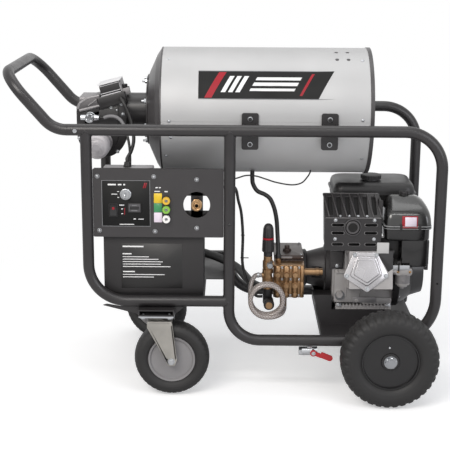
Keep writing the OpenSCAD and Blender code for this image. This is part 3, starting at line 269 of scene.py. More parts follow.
def bead(path, out, radius, around=8):
    """Weld bead along a closed path: each point carries a circle of the given radius in the plane
    of its outward direction and of the cross product of that with the path's tangent."""
    path, out = np.asarray(path, float), np.asarray(out, float)
    along = np.roll(path, -1, 0) - np.roll(path, 1, 0)
    along /= np.linalg.norm(along, axis=1)[:, None]
    out = out - (out * along).sum(1)[:, None] * along
    out /= np.linalg.norm(out, axis=1)[:, None]
    over = np.cross(along, out)
    a = np.linspace(0, 2 * np.pi, around, endpoint=False)
    swell = radius * (1 + 0.12 * np.sin(np.arange(len(path)) * 2.4))[:, None, None]
    ring = np.cos(a)[None, :, None] * out[:, None] + np.sin(a)[None, :, None] * over[:, None]
    return skin(path[:, None] + swell * ring, loop=True)


def post_weld(x, y, rail_z):
    """Saddle where an upright tube meets the rail above: on the upright's circle at angle t the two
    tubes meet at rail_z - r |cos t|."""
    t = np.linspace(0, 2 * np.pi, 72, endpoint=False)
    out = np.stack([np.cos(t), np.sin(t), 0 * t], -1)
    path = np.stack([x + TUBE_R * np.cos(t), y + TUBE_R * np.sin(t),
                     rail_z - TUBE_R * np.abs(np.cos(t)) ** 1.15], -1)
    return bead(path, out, 2.1)


def rail_weld(x, y, z):
    """Saddle where the left bottom rail butts on the side of the centre post."""
    t = np.linspace(0, 2 * np.pi, 72, endpoint=False)
    out = np.stack([0 * t, np.cos(t), np.sin(t)], -1)
    path = np.stack([x - TUBE_R * np.abs(np.sin(t)) ** 1.15, y + TUBE_R * np.cos(t),
                     z + TUBE_R * np.sin(t)], -1)
    return bead(path, out, 2.1)


piece("frame_welds",
      [w for s in (-1, 1) for w in (post_weld(-452, s * SIDE_Y, 914), post_weld(17, s * SIDE_Y, 914),
                                    rail_weld(17, s * SIDE_Y, 334))], charcoal_coat)


# ---- Heater ----
# A welded drum in black paint, wrapped in two rolled sheets of bright steel that are screwed to
# it; two folded saddles carry it on the top rails. A printed vinyl strip runs along the front.
TANK_Z = 940.0
TANK_R = 215.0

# Bright rolled sheet, brushed round the drum: scratches 0.3 mm wide drawn at 1.2 mm so they show
bright_sheet, tree = blank("brushed_bright_steel_sheet")
spot = add(tree, "TexCoord").outputs["Object"]
stretch = add(tree, "Mapping", {"Vector": spot, "Scale": (800.0, 9.0, 9.0)})
lines = add(tree, "TexNoise", {"Vector": stretch.outputs[0], "Scale": 1.0, "Detail": 3.0})
cloud = add(tree, "TexNoise", {"Vector": spot, "Scale": 6.0, "Detail": 2.0})
gleam = between(tree, lines.outputs["Fac"], 0.46, 0.56)
shade = between(tree, cloud.outputs["Fac"], 0.96, 1.04)
tint = add(tree, "VectorMath", {0: linear("#bcbcbc")[:3], "Scale": shade.outputs[0]}, operation="SCALE")
rise = add(tree, "Bump", {"Height": lines.outputs["Fac"], "Strength": 0.25, "Distance": 0.00005})
sheet_face = add(tree, "BsdfPrincipled",
                 {"Base Color": tint.outputs[0], "Metallic": 0.22, "Roughness": gleam.outputs[0],
                  "Normal": rise.outputs[0]})
add(tree, "OutputMaterial", {0: sheet_face.outputs[0]})

dress(bright_sheet, "heater_shell_upper", "heater_shell_lower")
# Heat-proof paint: dark grey rather than black, with a soft sheen
drum_black = coat("heat_proof_black_paint", "#464445", 0.36, 2.0, 0.05)
dress(drum_black, "heater_drum")
dress(black_coat, "tank_brackets")


# Directions of the shared frame, as axes of turned pieces
NEAR, FAR, UP, RIGHT, LEFT = (0, -1, 0), (0, 1, 0), (0, 0, 1), (1, 0, 0), (-1, 0, 0)


def facing(points, origin, axis, spin=0.0):
    """Turn points drawn about local +Z so that +Z lies along axis, and carry them to origin."""
    w = np.asarray(axis, float) / np.linalg.norm(axis)
    u = np.cross([0, 0, 1.0] if abs(w[2]) < 0.9 else [1.0, 0, 0], w)
    u /= np.linalg.norm(u)
    v = np.cross(w, u)
    c, s = np.cos(spin), np.sin(spin)
    p = np.asarray(points, float)
    x, y = p[..., 0] * c - p[..., 1] * s, p[..., 0] * s + p[..., 1] * c
    return np.asarray(origin, float) + x[..., None] * u + y[..., None] * v + p[..., 2:3] * w


def turned(profile, origin, axis, around=48, loop=False, spin=0.0, wave=0.0, waves=0):
    """Solid of revolution: a point (along, radius) of the profile and an angle a give
    (radius cos a, radius sin a, along); radius may ripple by wave cos(waves a), as on a grip."""
    s, r = np.asarray(profile, float).T
    a = np.linspace(0, 2 * np.pi, around, endpoint=False)
    r = r[:, None] + wave * np.cos(waves * a)[None, :] * (r[:, None] > 0.8 * r.max())
    ring = np.stack([r * np.cos(a), r * np.sin(a), s[:, None] + 0 * a], -1)
    return skin(facing(ring, origin, axis, spin), loop=loop)


def screw(place, axis, d=10.0, rise=3.0):
    """Pan-head screw on a washer: a flat ring, then a dome whose height falls off as a circle."""
    t = np.linspace(0.15, np.pi / 2, 6)
    dome = [(1.2 + rise * np.cos(v) ** 0.8, d / 2 * np.sin(v)) for v in t]
    return turned([(0, 0.9 * d / 2), (0, 0.68 * d), (1.0, 0.68 * d), (1.2, d / 2)] + dome[-2::-1], place,
                  axis, 20)


def on_drum(x, angle):
    """Place and outward direction on the heater at a distance along it and an angle above level."""
    a = np.radians(angle)
    return (x, -TANK_R * np.cos(a), TANK_Z + TANK_R * np.sin(a)), (0, -np.cos(a), np.sin(a))


wrap_screws = [(-191, 60), (-185, -2), (-180, -17), (-198, -38), (458, 59), (454, 0), (460, -40),
               (-191, 120), (-191, 180), (458, 121), (458, 180), (-191, 220), (458, 222)]
piece("wrap_screws", [screw(*on_drum(x, a), 8.0, 2.4) for x, a in wrap_screws], zinc_plate)
piece("saddle_screws", [screw((x, s * (TANK_R + 5.5), z), (0, s, 0), 12.5, 4.5) for x in (83, 346)
                        for z in (858, 942) for s in (-1, 1)], zinc_plate)


def wrap_strip(left, right, low, high, inner, outer, steps=20):
    """Thin strip that lies on the drum: stations t from 0 to 1 climb from angle low to high, and each
    is a small rectangle from left(t) to right(t) along the drum and from inner to outer radius."""
    t = np.linspace(0, 1, steps)
    a = np.radians(low + (high - low) * t)
    ring = []
    for edge, r in ((left, outer), (right, outer), (right, inner), (left, inner)):
        x = np.interp(t, [0, 1], edge)
        ring.append(np.stack([x, -r * np.cos(a), TANK_Z + r * np.sin(a)], -1))
    return skin(np.stack(ring, 1))


# Printed vinyl, 0.2 mm thick, gloss laminate over flat ink
ink_black = coat("printed_vinyl_black", "#070707", 0.55, 3.0, 0.01, ior=1.35)
ink_white = coat("printed_vinyl_white", "#ececec", 0.50, 3.0, 0.01, ior=1.4)
ink_red = coat("printed_vinyl_red", "#9c1a28", 0.50, 3.0, 0.01, ior=1.4)
ink_grey = coat("printed_vinyl_grey", "#808183", 0.50, 3.0, 0.01, ior=1.4)
label = TANK_R + 0.05
piece("tank_label_field", [wrap_strip((-89, -89), (306, 361), 17.6, 45.2, label, label + 0.5)], ink_black,
      crease=60)
piece("tank_label_edge",
      [wrap_strip((-89, -89), (306, 361), lo, lo + 0.7, label, label + 0.6) for lo in (17.6, 44.5)],
      ink_grey, crease=60)


def slant(x, width, low, high):
    """Slanted block between two angles of the drum, leaning 2 mm along for each degree it climbs."""
    return wrap_strip((x + 2 * (low - 17.6), x + 2 * (high - 17.6)),
                      (x + width + 2 * (low - 17.6), x + width + 2 * (high - 17.6)), low, high, label,
                      label + 0.7, 12)


piece("tank_label_bars",
      [slant(x, 15, 24.0, 39.5) for x in (-28, -4, 20)] +
      [slant(64, 148, low, high) for low, high in ((35.4, 38.4), (30.0, 33.2), (25.2, 27.6))],
      ink_white, crease=60)
piece("tank_label_flash", [slant(-72, 24, 19.0, 43.6), slant(238, 9, 21.0, 42.0)], ink_red, crease=60)


# ---- Burner ----
# A gun burner: pressed fan housing with an air tube into the drum, a grey painted flange motor, a
# transformer box on a sloping cast cover, and a small chromed fuel pump on the fan shaft.
FAN_X, FAN_Z = -431.0, 833.0

# Grey enamel over die-cast alloy: thin, slightly glossy, flowed smooth over a fine casting skin
grey_enamel = coat("light_grey_enamel", "#cbc7c9", 0.36, 4.0, 0.05, gloss=0.1)
# Die-cast aluminium left bare: 1 mm skin grain, dull sheen
die_cast = coat("die_cast_aluminium", "#8d8b8c", 0.50, 1.2, 0.12, metal=0.55, drift=0.12)
# Chrome: a mirror with almost no grain
chrome_plate = coat("chrome_plate", "#c9cbce", 0.16, 6.0, 0.01, metal=1.0)
# Enamel on pressed sheet: black with a broad soft highlight
sheet_black = coat("pressed_sheet_black_enamel", "#242223", 0.36, 3.0, 0.04, gloss=0.1)
# Moulded plastic: the tool's fine texture breaks up the highlight
moulded_black = coat("moulded_black_abs", "#1d1b1c", 0.48, 0.9, 0.05)
# Polished moulding: a tight highlight on near black
gloss_black = coat("gloss_black_moulding", "#121112", 0.22, 5.0, 0.01, gloss=0.3)


def spread(u, v, w, axis):
    """Points whose third coordinate w runs along the named axis."""
    u, v, w = np.broadcast_arrays(u, v, w)
    return np.stack({"x": (w, u, v), "y": (u, w, v), "z": (u, v, w)}[axis], -1)


def drawn_in(outline, d):
    """Outline moved inwards by d: each corner goes along the sum of its two edge normals, divided by
    one plus their cosine, so the edges stay parallel. The outline runs counterclockwise."""
    p = np.asarray(outline, float)
    e = np.roll(p, -1, 0) - p
    n = np.stack([-e[:, 1], e[:, 0]], -1) / np.linalg.norm(e, axis=1)[:, None]
    before = np.roll(n, 1, 0)
    return p + d * (n + before) / np.maximum(1 + (n * before).sum(1), 0.35)[:, None]


def prism(outline, low, high, edge=0.8, axis="y", steps=3):
    """Outline carried from low to high along an axis; near both ends it draws in by
    edge (1 - sin t) while it climbs edge (1 - cos t), a quarter-round edge."""
    t = np.linspace(0, np.pi / 2, steps)
    pull, climb = edge * (1 - np.sin(t)), edge * (1 - np.cos(t))
    levels = [(p, low + c) for p, c in zip(pull, climb)] + [(p, high - c)
        for p, c in zip(pull[::-1], climb[::-1])]
    rings = []
    for p, w in levels:
        q = drawn_in(outline, p)
        rings.append(spread(q[:, 0], q[:, 1], w, axis))
    return skin(np.stack(rings))


def rounded(u0, u1, v0, v1, r, per=7):
    """Rounded rectangle: four quarter circles of radius r about the corner centres, per points each."""
    t = np.linspace(0, np.pi / 2, per)
    turns = np.arange(4)[:, None] * np.pi / 2 + t
    cu = np.array([u1 - r, u0 + r, u0 + r, u1 - r])[:, None]
    cv = np.array([v1 - r, v1 - r, v0 + r, v0 + r])[:, None]
    return np.stack([cu + r * np.cos(turns), cv + r * np.sin(turns)], -1).reshape(-1, 2)


def block(x, y, z, r, edge=0.8, axis="y", steps=3):
    """Round-cornered block between pairs of x, y and z, corners seen along the axis."""
    pairs = {"x": (y, z, x), "y": (x, z, y), "z": (x, y, z)}[axis]
    return prism(rounded(*pairs[0], *pairs[1], r), *pairs[2], edge, axis, steps)


def softened(outline, r, per=5):
    """Convex outline with its corners rounded: the corners drawn in by r carry arcs of radius r from
    one edge's outward direction to the next."""
    p = np.asarray(outline, float)
    e = np.roll(p, -1, 0) - p
    if (p[:, 0] * np.roll(p[:, 1], -1) - np.roll(p[:, 0], -1) * p[:, 1]).sum() < 0:
        p = p[::-1]
        e = np.roll(p, -1, 0) - p
    after = np.arctan2(-e[:, 0], e[:, 1])
    before = np.roll(after, 1)
    a = before[:, None] + ((after - before) % (2 * np.pi))[:, None] * np.linspace(0, 1, per)
    return (drawn_in(p, r)[:, None] + r * np.stack([np.cos(a), np.sin(a)], -1)).reshape(-1, 2)


def stroke(start, end, radius, around=10):
    """Straight round rib between two points, its ends drawn in a little."""
    run = np.linalg.norm(np.subtract(end, start))
    return turned([(0, radius * 0.6), (0.8, radius), (run - 0.8, radius), (run, radius * 0.6)], start,
                  np.subtract(end, start), around)


def moved(part, origin, tilt_y=0.0):
    """A part turned by tilt_y degrees about Y, then carried from the origin to its place."""
    a = np.radians(tilt_y)
    p = part[0]
    q = np.stack([p[:, 0] * np.cos(a) + p[:, 2] * np.sin(a), p[:, 1],
                  -p[:, 0] * np.sin(a) + p[:, 2] * np.cos(a)], -1)
    return (q + np.asarray(origin, float),) + part[1:]


def nut(place, axis, flats, high, spin=0.0):
    """Hexagon head: six-sided prism whose top edge is cut back by a tenth of its width."""
    r = flats / 2 / np.cos(np.pi / 6)
    return turned([(0, r), (high * 0.8, r), (high, r * 0.86)], place, axis, 6, spin=spin)


# Casing outline: half circle of 86 mm below, straight walls above it, roof sloping up to the drum
CASE_X, CASE_Z = -425.0, 864.0
turn = np.linspace(np.pi, 2 * np.pi, 49)
casing = np.stack([CASE_X + 86 * np.cos(turn), CASE_Z + 86 * np.sin(turn)], -1)
casing = np.concatenate([casing,
                         [(CASE_X + 86, TANK_Z + 40), (CASE_X + 52, TANK_Z + 44),
                          (CASE_X - 86, TANK_Z + 10)]])
piece("burner_casing",
      [prism(casing, -56, 56, 3.0, "y", 4), prism(drawn_in(casing, 3.0), -57.4, -40, 1.4, "y", 3),
       prism(drawn_in(casing, 26.0), -60.0, -50, 2.2, "y", 3)], sheet_black, instead_of="burner_housing")
piece("burner_air_tube",
      [turned([(0, 57), (8, 57), (8, 58.2), (14, 58.2), (14, 57), (88, 57)], (-345, 0, TANK_Z), RIGHT, 64)],
      sheet_black)
piece("burner_deck",
      [moved(block((86, 187.5), (-69.5, 69.5), (-4, 33.5), 6, 2.0, "z"), (-516, 0, TANK_Z - 10), -15)],
      sheet_black)
cover = np.array([(-508, 955), (-497, 941), (-418, 961), (-412, 978), (-434, 993), (-474, 985),
                  (-499, 971)])
# The web between the ribs lies in their shade, so its casting is drawn darker: painted shade
piece("burner_cover_web", [prism(softened(cover, 3), -66, 62, 3.0, "y", 4)],
      coat("die_casting_painted_shade", "#5e5c5d", 0.5, 1.2, 0.12, metal=0.4))
# Rounded ribs that edge the cast cover, each from one point to another with its radius
cover_ribs = (((-500, -64, 943), (-416, -64, 964), 5.5), ((-506, -62, 948), (-498, -62, 968), 5.5),
              ((-499, -62, 967), (-474, -62, 984), 5.5), ((-475, -62, 984), (-430, -62, 994), 5.5),
              ((-470, -66, 960), (-440, -66, 982), 2.5))
piece("burner_cast_cover", [stroke(a, b, r, 14) for a, b, r in cover_ribs] +
      [block((-500, -432), (-60, 58), (972, 990), 8, 3.0, "x", 4)], die_cast)
nose = np.array([(-511, 870), (-495, 866), (-430, 930), (-430, 956), (-505, 946), (-511, 942)])
piece("burner_lower_nose", [prism(softened(nose, 4), -60, 60, 3.0, "y", 4)], sheet_black)
case_screws = [(-392, 950), (-352, 930), (-356, 966), (-372, 944), (-504, 846), (-350, 862), (-372, 800),
               (-460, 796)]
piece("burner_bolts", [screw((x, -56.5, z), NEAR, 9, 4.0) for x, z in case_screws], zinc_plate)

# Flange motor: rolled barrel between two end bells, shallow ribs round the near bell
MOTOR_Y = -56.3
bell = [(0, 42.5), (12, 42.5), (14, 41), (58, 41), (59, 41.5), (66, 41.5), (67, 41), (102, 40.6),
        (107, 38.5), (112, 33), (113, 27), (113.5, 25), (116, 22), (118, 13), (120, 12), (120, 3)]
piece("burner_motor_barrel", [turned(bell, (FAN_X, MOTOR_Y, FAN_Z), NEAR, 72)], grey_enamel,
      instead_of="burner_motor", crease=28)
piece("burner_motor_bolts",
      [screw((FAN_X + 31 * np.cos(a), MOTOR_Y - 105.6, FAN_Z + 31 * np.sin(a)), NEAR, 6, 2.4)
       for a in np.radians((45, 135, 225, 315))], zinc_plate)

# Transformer box: folded steel with a dark potted window and bright folded edges
BOX_AT = (-423, 0, TANK_Z + 50.5)
piece("transformer_box", [moved(block((0, 68), (-62, 38), (0, 36), 3, 1.0, "z"), BOX_AT, -15)], sheet_black,
      instead_of="ignition_box")
trim = [block((-4, 76), (-66, 42), (38.5, 41), 3, 1.0, "z"),
        block((-1, 69), (-63.4, -61), (0, 3), 1, 0.4, "z"),
        block((-1, 69), (-63, -61), (8, 10), 0.8, 0.4, "z"),
        block((66, 73), (-52, 28), (0, 37.5), 2, 0.6, "z"),
        block((-1, 70), (-64, -61), (33.5, 35), 0.6, 0.2, "z")]
# Pale enamel on the folded edges, which outline the dark box
piece("transformer_trim", [moved(p, BOX_AT, -15) for p in trim],
      coat("pale_box_enamel", "#e2e1e3", 0.36, 4.0, 0.03))
piece("transformer_end_plate", [moved(block((73, 75.5), (-58, 34), (-14, 38), 4, 1.0, "x"), BOX_AT, -15),
                                moved(block((75, 100), (-58, -54), (-14, 8), 3, 1.0), BOX_AT, -15)],
      die_cast)
piece("flame_sight_cap",
      [moved(turned([(0, 11), (13, 11), (14, 9), (14, 3)], (80, -30, 6), (0.2, 0, 1), 24), BOX_AT, -15),
       moved(block((73, 96), (-44, -14), (-4, 8), 4, 2.0, "z"), BOX_AT, -15)], moulded_black)

# Gear pump for fuel: plated body with a banjo union and its bolts
pump = [turned([(0, 15), (2, 17.4), (14, 17.4), (15, 16), (42, 16), (44, 14)], (-462, -56.3, 922), NEAR,
               40), turned([(-32, 8), (-31, 10), (0, 10), (23.6, 10), (24, 9)], (-462, -82.3, 922), RIGHT,
                           24), nut((-442, -82.3, 922), RIGHT, 14, 11)]
pump += [screw((-462 + 11 * np.cos(a), -100.3, 922 + 11 * np.sin(a)), NEAR, 5.5, 2.5)
         for a in np.radians((30, 120, 210, 300))]
piece("burner_gear_pump", pump, chrome_plate, instead_of="fuel_pump")

flange_x = -262.3
piece("burner_mounting_flange",
      [turned([(0, 59), (0, 119), (-1.5, 121), (-4.5, 121), (-6, 119), (-6, 59)], (flange_x, 0, TANK_Z),
              RIGHT, 96, loop=True)], charcoal_coat, instead_of="burner_flange")
piece("flange_nuts",
      [p for a in np.radians(np.arange(22.5, 360, 45))
       for p in (nut((flange_x - 6, 111 * np.cos(a), TANK_Z + 111 * np.sin(a)), LEFT, 14, 7, a),
                 turned([(0, 4), (9, 4), (10, 3)],
                        (flange_x - 12, 111 * np.cos(a), TANK_Z + 111 * np.sin(a)), LEFT, 12))], zinc_plate)


# ---- Control panel ----
# Folded steel panel in satin grey coat between the posts, screwed to a grey steel box behind it.
# A printed vinyl sheet carries the key switch, the rocker and the hour meter.
PANEL_Y = -287.0
# Powder coat a shade paler than the tubes; pale smooth enamel on the box behind
panel_coat = coat("satin_graphite_powder_coat", "#353334", 0.45, 1.5, 0.05)
box_grey = coat("light_grey_box_enamel", "#a9a8aa", 0.40, 2.0, 0.05)
dress(panel_coat, "control_panel")
dress(box_grey, "control_enclosure")

panel_screws = [(-417, 761), (-232, 761), (-91, 752), (-413, 578), (-229, 576), (-91, 588)]
piece("panel_screws", [screw((x, PANEL_Y, z), NEAR, 11, 3.0) for x, z in panel_screws], zinc_plate)


def decal(u0, u1, v0, v1, lift=0.4, lean=0.0, y=PANEL_Y, r=0.6):
    """Thin printed rectangle on a face that looks to -Y, its top shifted along by lean."""
    o = rounded(u0, u1, v0, v1, r, 3)
    o[:, 0] += lean * (o[:, 1] - v0) / (v1 - v0)
    return prism(o, y - lift, y + 0.2, 0.08, "y", 2)


def rim(u0, u1, v0, v1, w, lift, y=PANEL_Y):
    """Four printed strips of width w round a rectangle."""
    return [decal(u0, u1, v0, v0 + w, lift, y=y), decal(u0, u1, v1 - w, v1, lift, y=y),
            decal(u0, u0 + w, v0 + w, v1 - w, lift, y=y), decal(u1 - w, u1, v0 + w, v1 - w, lift, y=y)]


piece("panel_label_field", [decal(-404, -244, 592, 748, 0.35)], ink_black, crease=60)
piece("panel_label_rim", rim(-404, -244, 592, 748, 1.8, 0.55), ink_grey, crease=60)
marks = [decal(*box, 0.6) for box in ((-383, -356, 731, 736), (-350, -338, 731, 736),
                                      (-332, -326, 731, 736), (-372, -352, 700, 702.5),
                                      (-352, -346, 709, 711.5), (-352, -346, 689, 691.5),
                                      (-346, -330, 663, 666), (-340, -334, 650, 653),
                                      (-340, -334, 634, 637), (-300, -292, 616, 619.5),
                                      (-284, -266, 616, 618.5), (-346, -298, 598, 600.6))]
piece("panel_label_marks", marks, ink_white, crease=60)
piece("panel_label_accents",
      [decal(-268, -264, 722, 740, 0.6, lean=5), decal(-262, -259, 722, 740, 0.6, lean=5),
       decal(-330, -328, 632, 655, 0.6)], ink_red, crease=60)

# Colour patches beside the spray tips, in the tips' own colours
ink_yellow = coat("printed_vinyl_yellow", "#e5c22c", 0.32, 3.0, 0.01)
ink_green = coat("printed_vinyl_green", "#3f8f5c", 0.32, 3.0, 0.01)
ink_pale = coat("printed_vinyl_pale", "#e9dcea", 0.32, 3.0, 0.01)
for name, z0, z1, ink in (("yellow", 672, 705, ink_yellow), ("green", 641, 671, ink_green),
                          ("pale", 607, 640, ink_pale)):
    piece("tip_patch_" + name, [decal(-232, -205.5, z0, z1, 0.4)], ink, crease=60)
piece("tip_marks", [decal(-230, -212, 710, 713, 0.4), decal(-197, -186, 709, 713, 0.4),
                    decal(-228, -220, 722, 726, 0.4, lean=3), decal(-216, -211, 722, 726, 0.4, lean=3)],
      ink_white, crease=60)

# Key switch: plated barrel, knurled nut and a flat key with a rounded bow
key = [turned([(-16, 10.8), (0, 10.8), (0.3, 18.5), (2.5, 18.5), (3.5, 17)], (-325, PANEL_Y, 701), NEAR,
              48), turned([(3, 15), (3.5, 15.8), (8.5, 15.8), (9.2, 15), (9.2, 12.6), (13, 12.6),
                           (14, 11.6), (14, 3)], (-325, PANEL_Y, 701), NEAR, 72, wave=0.35, waves=24)]
piece("key_barrel", key, zinc_plate, body="key", instead_of="key_switch")
bow = np.linspace(0, 2 * np.pi, 40, endpoint=False)
bow = np.stack([PANEL_Y - 24 + 9.0 * np.cos(bow), 701 + 9.5 * np.sin(bow)], -1)
piece("key_blade",
      [prism(bow, -326.3, -323.7, 0.5, "x"),
       block((-326, -324), (PANEL_Y - 18, PANEL_Y - 13.5), (696, 706), 0.6, 0.3, "x")],
      chrome_plate, body="key")

# Rocker with its snap-in bezel and a red lens
sides = (((-381, -378.5), (626, 668)), ((-353.5, -351), (626, 668)), ((-380, -352), (666.5, 669)),
         ((-380, -352), (625, 627.5)))
piece("rocker_bezel", [block(x, (PANEL_Y - 2.2, PANEL_Y - 0.2), z, 1.0, 0.5) for x, z in sides],
      moulded_black)
t = np.linspace(0, 1, 9)
top_face = np.stack([PANEL_Y + 1 - 4 - 4.0 * (1 - t) ** 2, 647 - 17.5 + 35 * t], -1)
rock = np.concatenate([[(PANEL_Y + 5, 629.2), ], top_face, [(PANEL_Y + 5, 664.8)]])[::-1]
piece("rocker_cap", [prism(rock, -377.5, -354.5, 0.6, "x")], gloss_black, body="rocker",
      instead_of="rocker_switch")
piece("rocker_lens", [block((-370, -362), (PANEL_Y - 5.2, PANEL_Y - 3), (650, 658), 1.5, 0.4)], ink_red,
      body="rocker")

# Hour meter: dark bezel, grey face and a window with plain digit drums
piece("meter_bezel", [block((-318, -274), (PANEL_Y - 5, PANEL_Y - 0.3), (640, 672), 4, 1.2)], moulded_black,
      instead_of="hour_meter")
# Meter face: flat grey print
meter_grey = coat("meter_face_grey", "#4b4a4c", 0.4, 2.0, 0.01)
piece("meter_face", [block((-315, -277), (PANEL_Y - 5.5, PANEL_Y - 4), (643, 669), 2.5, 0.4)], meter_grey)
piece("meter_lines",
      [decal(-304, -288, 664, 666, 0.3, y=PANEL_Y - 5.5),
       decal(-306, -286, 646, 648, 0.3, y=PANEL_Y - 5.5)], ink_grey)
piece("meter_window", [block((-311, -281), (PANEL_Y - 5.9, PANEL_Y - 5), (651, 661), 1.5, 0.3)],
      gloss_black)

# Rubber grommets and the coloured spray tips pushed into them: each a turned collar with flats
# Moulded rubber: dry and matt
rubber_black = coat("moulded_black_rubber", "#171616", 0.62, 1.2, 0.05)
NOZZLE_X = -191.0
tips = ((682, "yellow", "#e8b93a", "15"), (652, "green", "#86bd4a", "25"), (620, "white", "#f1efec", "40"))
grommets = [turned([(13, 7.2), (13, 11), (12, 11.7), (-1.5, 11.7), (-1.5, 14.5), (-1.9, 14.5), (-2.4, 13.8),
                    (-2.4, 7.8), (-2, 7.2)], (NOZZLE_X, PANEL_Y, z), FAR, 40, loop=True) for z, *_ in tips]
piece("tip_grommets", grommets, rubber_black, instead_of="nozzle_rack")
# Lacquer on the steel tips: clean strong colour under a clear skin
for z, hue, colour, tag in tips:
    lacquer = coat(hue + "_tip_lacquer", colour, 0.32, 2.0, 0.02, gloss=0.2)
    form = [(22, 4), (22, 6.4), (21, 7), (-2.6, 7), (-2.7, 12.6), (-4, 13), (-13.6, 13), (-15, 11.8),
            (-15, 5.8), (-14, 5.2), (-9, 5.2), (-9, 2), (22, 2)]
    piece("spray_tip_" + tag, [turned(form, (NOZZLE_X, PANEL_Y, z), FAR, 40, loop=True)], lacquer,
          body="tip_" + tag, instead_of="nozzle_" + tag)
    piece("tip_orifice_" + tag,
          [turned([(0, 1.6), (0, 5.0), (1.2, 5.0), (1.2, 1.6)], (NOZZLE_X, PANEL_Y - 9.2, z), NEAR, 24,
                  loop=True)], turned_steel, body="tip_" + tag)

# Outlet: folded strip behind the round opening, with a brass coupler through it
# Brass as cast is brown, grainy and clouded by handling; turned, it is paler and cleaner
cast_brass = coat("cast_brass", "#97795a", 0.40, 1.0, 0.10, metal=0.9, drift=0.16)
turned_brass = coat("turned_brass", "#b39069", 0.28, 0.7, 0.03, metal=1.0, drift=0.08)
OUT = (-91.0, -283.7, 667.0)
strip_y = OUT[1]
fold = np.array([(strip_y, 575), (strip_y + 3, 575), (strip_y + 3, 598), (strip_y + 23, 603),
                 (strip_y + 23, 737), (strip_y + 3, 742), (strip_y + 3, 765), (strip_y, 765),
                 (strip_y, 739), (strip_y + 20, 734), (strip_y + 20, 606), (strip_y, 601)], float)
piece("outlet_strip",
      [prism(fold, -111, -71, 0.5, "x")] +
      [block((-133, -49), (strip_y + 20, strip_y + 23), (z, z + 34), 2, 0.5) for z in (608, 692)],
      charcoal_coat, instead_of="outlet_bracket")
piece("coupler_body",
      [turned([(-18, 6), (-18, 8), (-17, 10), (-14, 11), (19.6, 11), (19.6, 8), (24, 8), (24, 9), (50, 9.4),
               (50, 6)], OUT, FAR, 48, loop=True), nut((-91, strip_y + 23.3, 667), FAR, 24, 14)],
      turned_brass)
collar = [(8, 11.2), (8, 17), (6, 18), (2, 18), (1, 16.6), (-2, 16.6), (-3, 18), (-9, 18), (-10, 16.6),
          (-13, 16.6), (-14, 18), (-18.4, 18), (-20, 16.5), (-20, 13), (-19, 11.2)]
piece("coupler_collar_ring", [turned(collar, OUT, FAR, 64, loop=True)], turned_brass, body="coupler_collar",
      instead_of="coupler_sleeve")


# ---- Burner fuel tank ----
# Blow-moulded black tank on the tray with ribbed flanks, behind a flat steel sheet that carries a
# printed notice; the sheet's print here is plain bars.
# Dark sheet coat stays even and matt; blow-moulded polyethylene is waxy, with a coarse skin
sheet_coat = coat("satin_dark_sheet_coat", "#211f20", 0.50, 1.5, 0.04)
blow_moulded = coat("blow_moulded_black_hdpe", "#1b1a1b", 0.52, 2.2, 0.10)
back = -263.1
tank = [block((-397, -71), (back, back + 260), (336.2, 547), 16, 9.0, "y", 5)]
tank += [block((-398.2, -69.8), (back + 34 + 48 * i, back + 44 + 48 * i), (337, 546), 15, 1.0, "y")
         for i in range(4)]
tank += [turned([(545, 31), (562, 31), (562, 28.6), (566, 28.6), (569.5, 28), (569.5, 24)],
                (-340, back + 210, 0), UP, 48)]
piece("fuel_tank_moulding", tank, blow_moulded, instead_of="burner_fuel_tank")
piece("fuel_tank_sheet", [block((-403, -69), (-265.4, -263.4), (355, 553), 3, 0.5)], sheet_coat)
# The notice's ground: smooth dark grey print, a shade off the sheet's own coat
piece("sheet_notice_field", [decal(-345, -140, 372, 528, 0.25, y=-265.4)],
      coat("printed_vinyl_dark_grey", "#1b1a1a", 0.36, 3.0, 0.01), crease=60)
rows = [(520, 70, 5), (494, 30, 4.2), (483, 88, 2.6), (474.5, 120, 2.6), (466, 134, 2.6), (457.5, 128, 2.6),
        (449, 160, 2.6), (432, 40, 4.2), (421, 140, 2.6), (412.5, 104, 2.6)]
piece("sheet_notice_bars", [decal(-340, -340 + w, z - h, z, 0.4, y=-265.4, r=0.5) for z, w, h in rows],
      ink_white, crease=60)
piece("fuel_filler_cap",
      [turned([(570.3, 33), (571, 36), (586, 36.5), (589, 34.5), (590, 31), (590, 6)],
              (-340, back + 210, 0), UP, 144, wave=0.9, waves=24),
       block((-366, -314), (back + 206, back + 214), (588, 590), 2, 0.8, "z")], moulded_black,
      body="burner_cap", instead_of="burner_fuel_cap")


# ---- Pump ----
# Three-plunger pump: an anodised brown crankcase with a filler cap, and a forged brass manifold
# with ribbed columns and hexagon valve caps, bolted to the engine through a cast bell housing.
SHAFT_Z = 372.0
# Anodised casting: brown-grey, fine blasted skin of 0.8 mm grain
anodised = coat("brown_anodised_casting", "#433733", 0.42, 0.8, 0.08, metal=0.2, drift=0.1)
